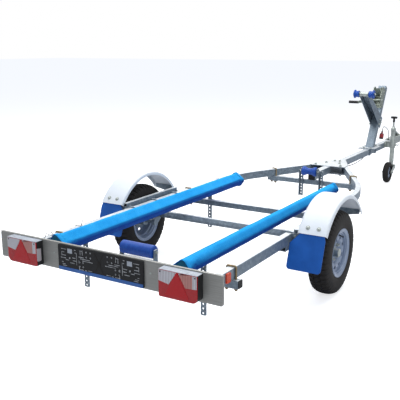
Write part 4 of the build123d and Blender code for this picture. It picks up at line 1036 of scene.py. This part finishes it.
shape = bmesh.new()
for sign in (-1, 1):
    plate = [on_arm(sign * 44, along, down) for along, down in (
        (-60, -60), (-60, 60), (arm_length + 14, 23), (arm_length + 26, 0), (arm_length + 14, -23))]
    slab(shape, plate, (-sign * 0.004, 0, 0))
web = [on_arm(x, along, down) for x, along, down in (
    (-40, 34, -57), (40, 34, -57), (40, arm_length - 26, -26), (-40, arm_length - 26, -26))]
slab(shape, web, (on_arm(0, 0, 4) - on_arm(0, 0, 0)))
turned(shape, place(-109, *bow_pin), (1, 0, 0), ((0, 13), (5, 13), (5, 8), (213, 8), (213, 13), (218, 13)), 24)
arm_piece = settle(shape, "snubber_arm_open", galvanised, "frame", smooth=30)
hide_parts("snubber_arm")

# Snubber arm: sleeve between its plates at the bow rollers, and its bolts on the post
shape = bmesh.new()
turned(shape, place(-39.8, *bow_pin), (1, 0, 0), ((0, 20), (2, 21.5), (77, 21.5), (79.6, 20)), 32)
for sign in (-1, 1):
    nut(shape, place(sign * 104, *bow_pin), (sign, 0, 0), 15)
    for station, height in ((4452, 700), (4478, 668), (4425, 655)):
        nut(shape, place(sign * 44.2, station, height), (sign, 0, 0), 17)
settle(shape, "snubber_sleeve_and_nuts", coupling_steel, "frame", smooth=35)


# Jockey post: collar and screw of its spindle, the clamp's T screw, and the wheel's discs and axle nuts
def on_jockey(height, aside=0):
    """Point on the jockey post's axis, or beside it to the right."""
    return place(jockey_x + aside, jockey_station, height)


shape = bmesh.new()
turned(shape, on_jockey(575.2), (0, 0, 1), ((0, 25.2), (3, 25.2), (9, 19), (18, 13), (26, 9.5), (30, 9.5)), 32)
turned(shape, on_jockey(548), (0, 0, 1), ((0, 24.3), (0.5, 26.4), (26, 26.4), (27, 25.2)), 36)
turned(shape, on_jockey(600), (0, 0, 1), ((0, 8), (60, 8)), 18)
settle(shape, "jockey_collar", coupling_steel, "jockey_post", smooth=35)
shape = bmesh.new()
turned(shape, on_jockey(644), (0, 0, 1), ((0, 9), (2, 11), (14, 12), (38, 10), (50, 10)), 24)
turned(shape, on_jockey(694, -33), (1, 0, 0), ((0, 8), (2, 11), (20, 12.5), (46, 12.5), (64, 11), (66, 8)), 20)
handle = settle(shape, "jockey_handle_moulded", black_plastic, "jockey_post", smooth=40)
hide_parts("jockey_handle")
shape = bmesh.new()
turned(shape, on_jockey(398, 29), (1, 0, 0), ((0, 13), (8, 13), (8, 6), (34, 6)), 20)
turned(shape, place(168, jockey_station - 26, 398), (0, 1, 0), ((0, 4), (2, 5), (50, 5), (52, 4)), 14)
for height in (380, 416):
    for step in (-44, 44):
        nut(shape, place(36, jockey_station + step, height), (1, 0, 0), 13)
settle(shape, "jockey_clamp_screw", coupling_steel, "frame", smooth=35)
shape = bmesh.new()
for sign in (-1, 1):
    disc = place(jockey_x + sign * 14.2, jockey_axle_station, jockey_radius)
    turned(shape, disc, (sign, 0, 0), ((0, 61), (1.5, 61), (3, 54), (3, 30), (9, 26), (10, 12)), 36)
settle(shape, "jockey_wheel_discs", rim_paint, "jockey_wheel", smooth=35)
shape = bmesh.new()
for sign in (-1, 1):
    nut(shape, place(jockey_x + sign * 45, jockey_axle_station, jockey_radius), (sign, 0, 0), 19)
settle(shape, "jockey_axle_nuts", coupling_steel, "jockey_fork", smooth=30)

# Coupling: through bolts in the sleeve and the handle's pivot
shape = bmesh.new()
for sign in (-1, 1):
    for station in (5030, 5095):
        nut(shape, place(sign * 35, station, 392), (sign, 0, 0), 19)
    nut(shape, place(sign * 17, 5378, 440), (sign, 0, 0), 13)
settle(shape, "coupling_bolts", winch_steel, "frame", smooth=30)


# Studio: pale floor that keeps the shadow, white backdrop and soft lamps
def studio_lamp(name, centre, target, size, power, tint="#ffffff"):
    """Soft square lamp turned to a point."""
    data = bpy.data.lights.new(name, "AREA")
    data.size = size
    data.energy = power
    data.color = linear(tint)[:3]
    lamp = linked(name, data)
    lamp.location = centre
    lamp.rotation_euler = (Vector(target) - Vector(centre)).to_track_quat("-Z", "Y").to_euler()


studio_lamp("overhead_lamp", (-0.5, -0.5, 6.0), (0, 0, 0.3), 5.5, 430)
studio_lamp("right_lamp", (5.5, -4.5, 3.2), (0, -0.5, 0.4), 3.0, 80)
studio_lamp("front_lamp", (-3.5, 5.0, 3.5), (0, 0.5, 0.5), 3.0, 60)

world = bpy.data.worlds.new("studio")
scene.world = world
world.use_nodes = True
tree = world.node_tree
tree.nodes.clear()
rays = add(tree, "ShaderNodeLightPath").outputs
direct = add(tree, "ShaderNodeMath", {0: rays["Is Camera Ray"], 1: rays["Is Transmission Ray"]}, operation="MAXIMUM")
seen = add(tree, "ShaderNodeMath", {0: direct.outputs["Value"], 1: rays["Is Glossy Ray"]}, operation="MAXIMUM")
light = add(tree, "ShaderNodeBackground", {"Color": linear("#dce8fa"), "Strength": 0.42})
backdrop = add(tree, "ShaderNodeBackground", {"Color": (1, 1, 1, 1), "Strength": 1.0})
both = add(
    tree, "ShaderNodeMixShader", {0: seen.outputs["Value"], 1: light.outputs[0], 2: backdrop.outputs[0]}
)
add(tree, "ShaderNodeOutputWorld", {"Surface": both.outputs[0]})

floor_mesh = bpy.data.meshes.new("studio_floor")
reach = 60
floor_mesh.from_pydata(
    [(-reach, -reach, 0), (reach, -reach, 0), (reach, reach, 0), (-reach, reach, 0)], [], [(0, 1, 2, 3)]
)
studio_floor = linked("studio_floor", floor_mesh)
floor_paint = bpy.data.materials.new("matt_white_floor")
floor_paint.use_nodes = True
tree = floor_paint.node_tree
tree.nodes.clear()
matt = add(tree, "ShaderNodeBsdfDiffuse", {"Color": (0.74, 0.74, 0.75, 1)})
glow = spread(tree, add(tree, "ShaderNodeLightPath").outputs["Is Camera Ray"], 0, 0.7)
lift = add(tree, "ShaderNodeEmission", {"Color": (1, 1, 1, 1), "Strength": glow})
both = add(tree, "ShaderNodeAddShader", {0: matt.outputs[0], 1: lift.outputs[0]})
add(tree, "ShaderNodeOutputMaterial", {"Surface": both.outputs[0]})
floor_mesh.materials.append(floor_paint)
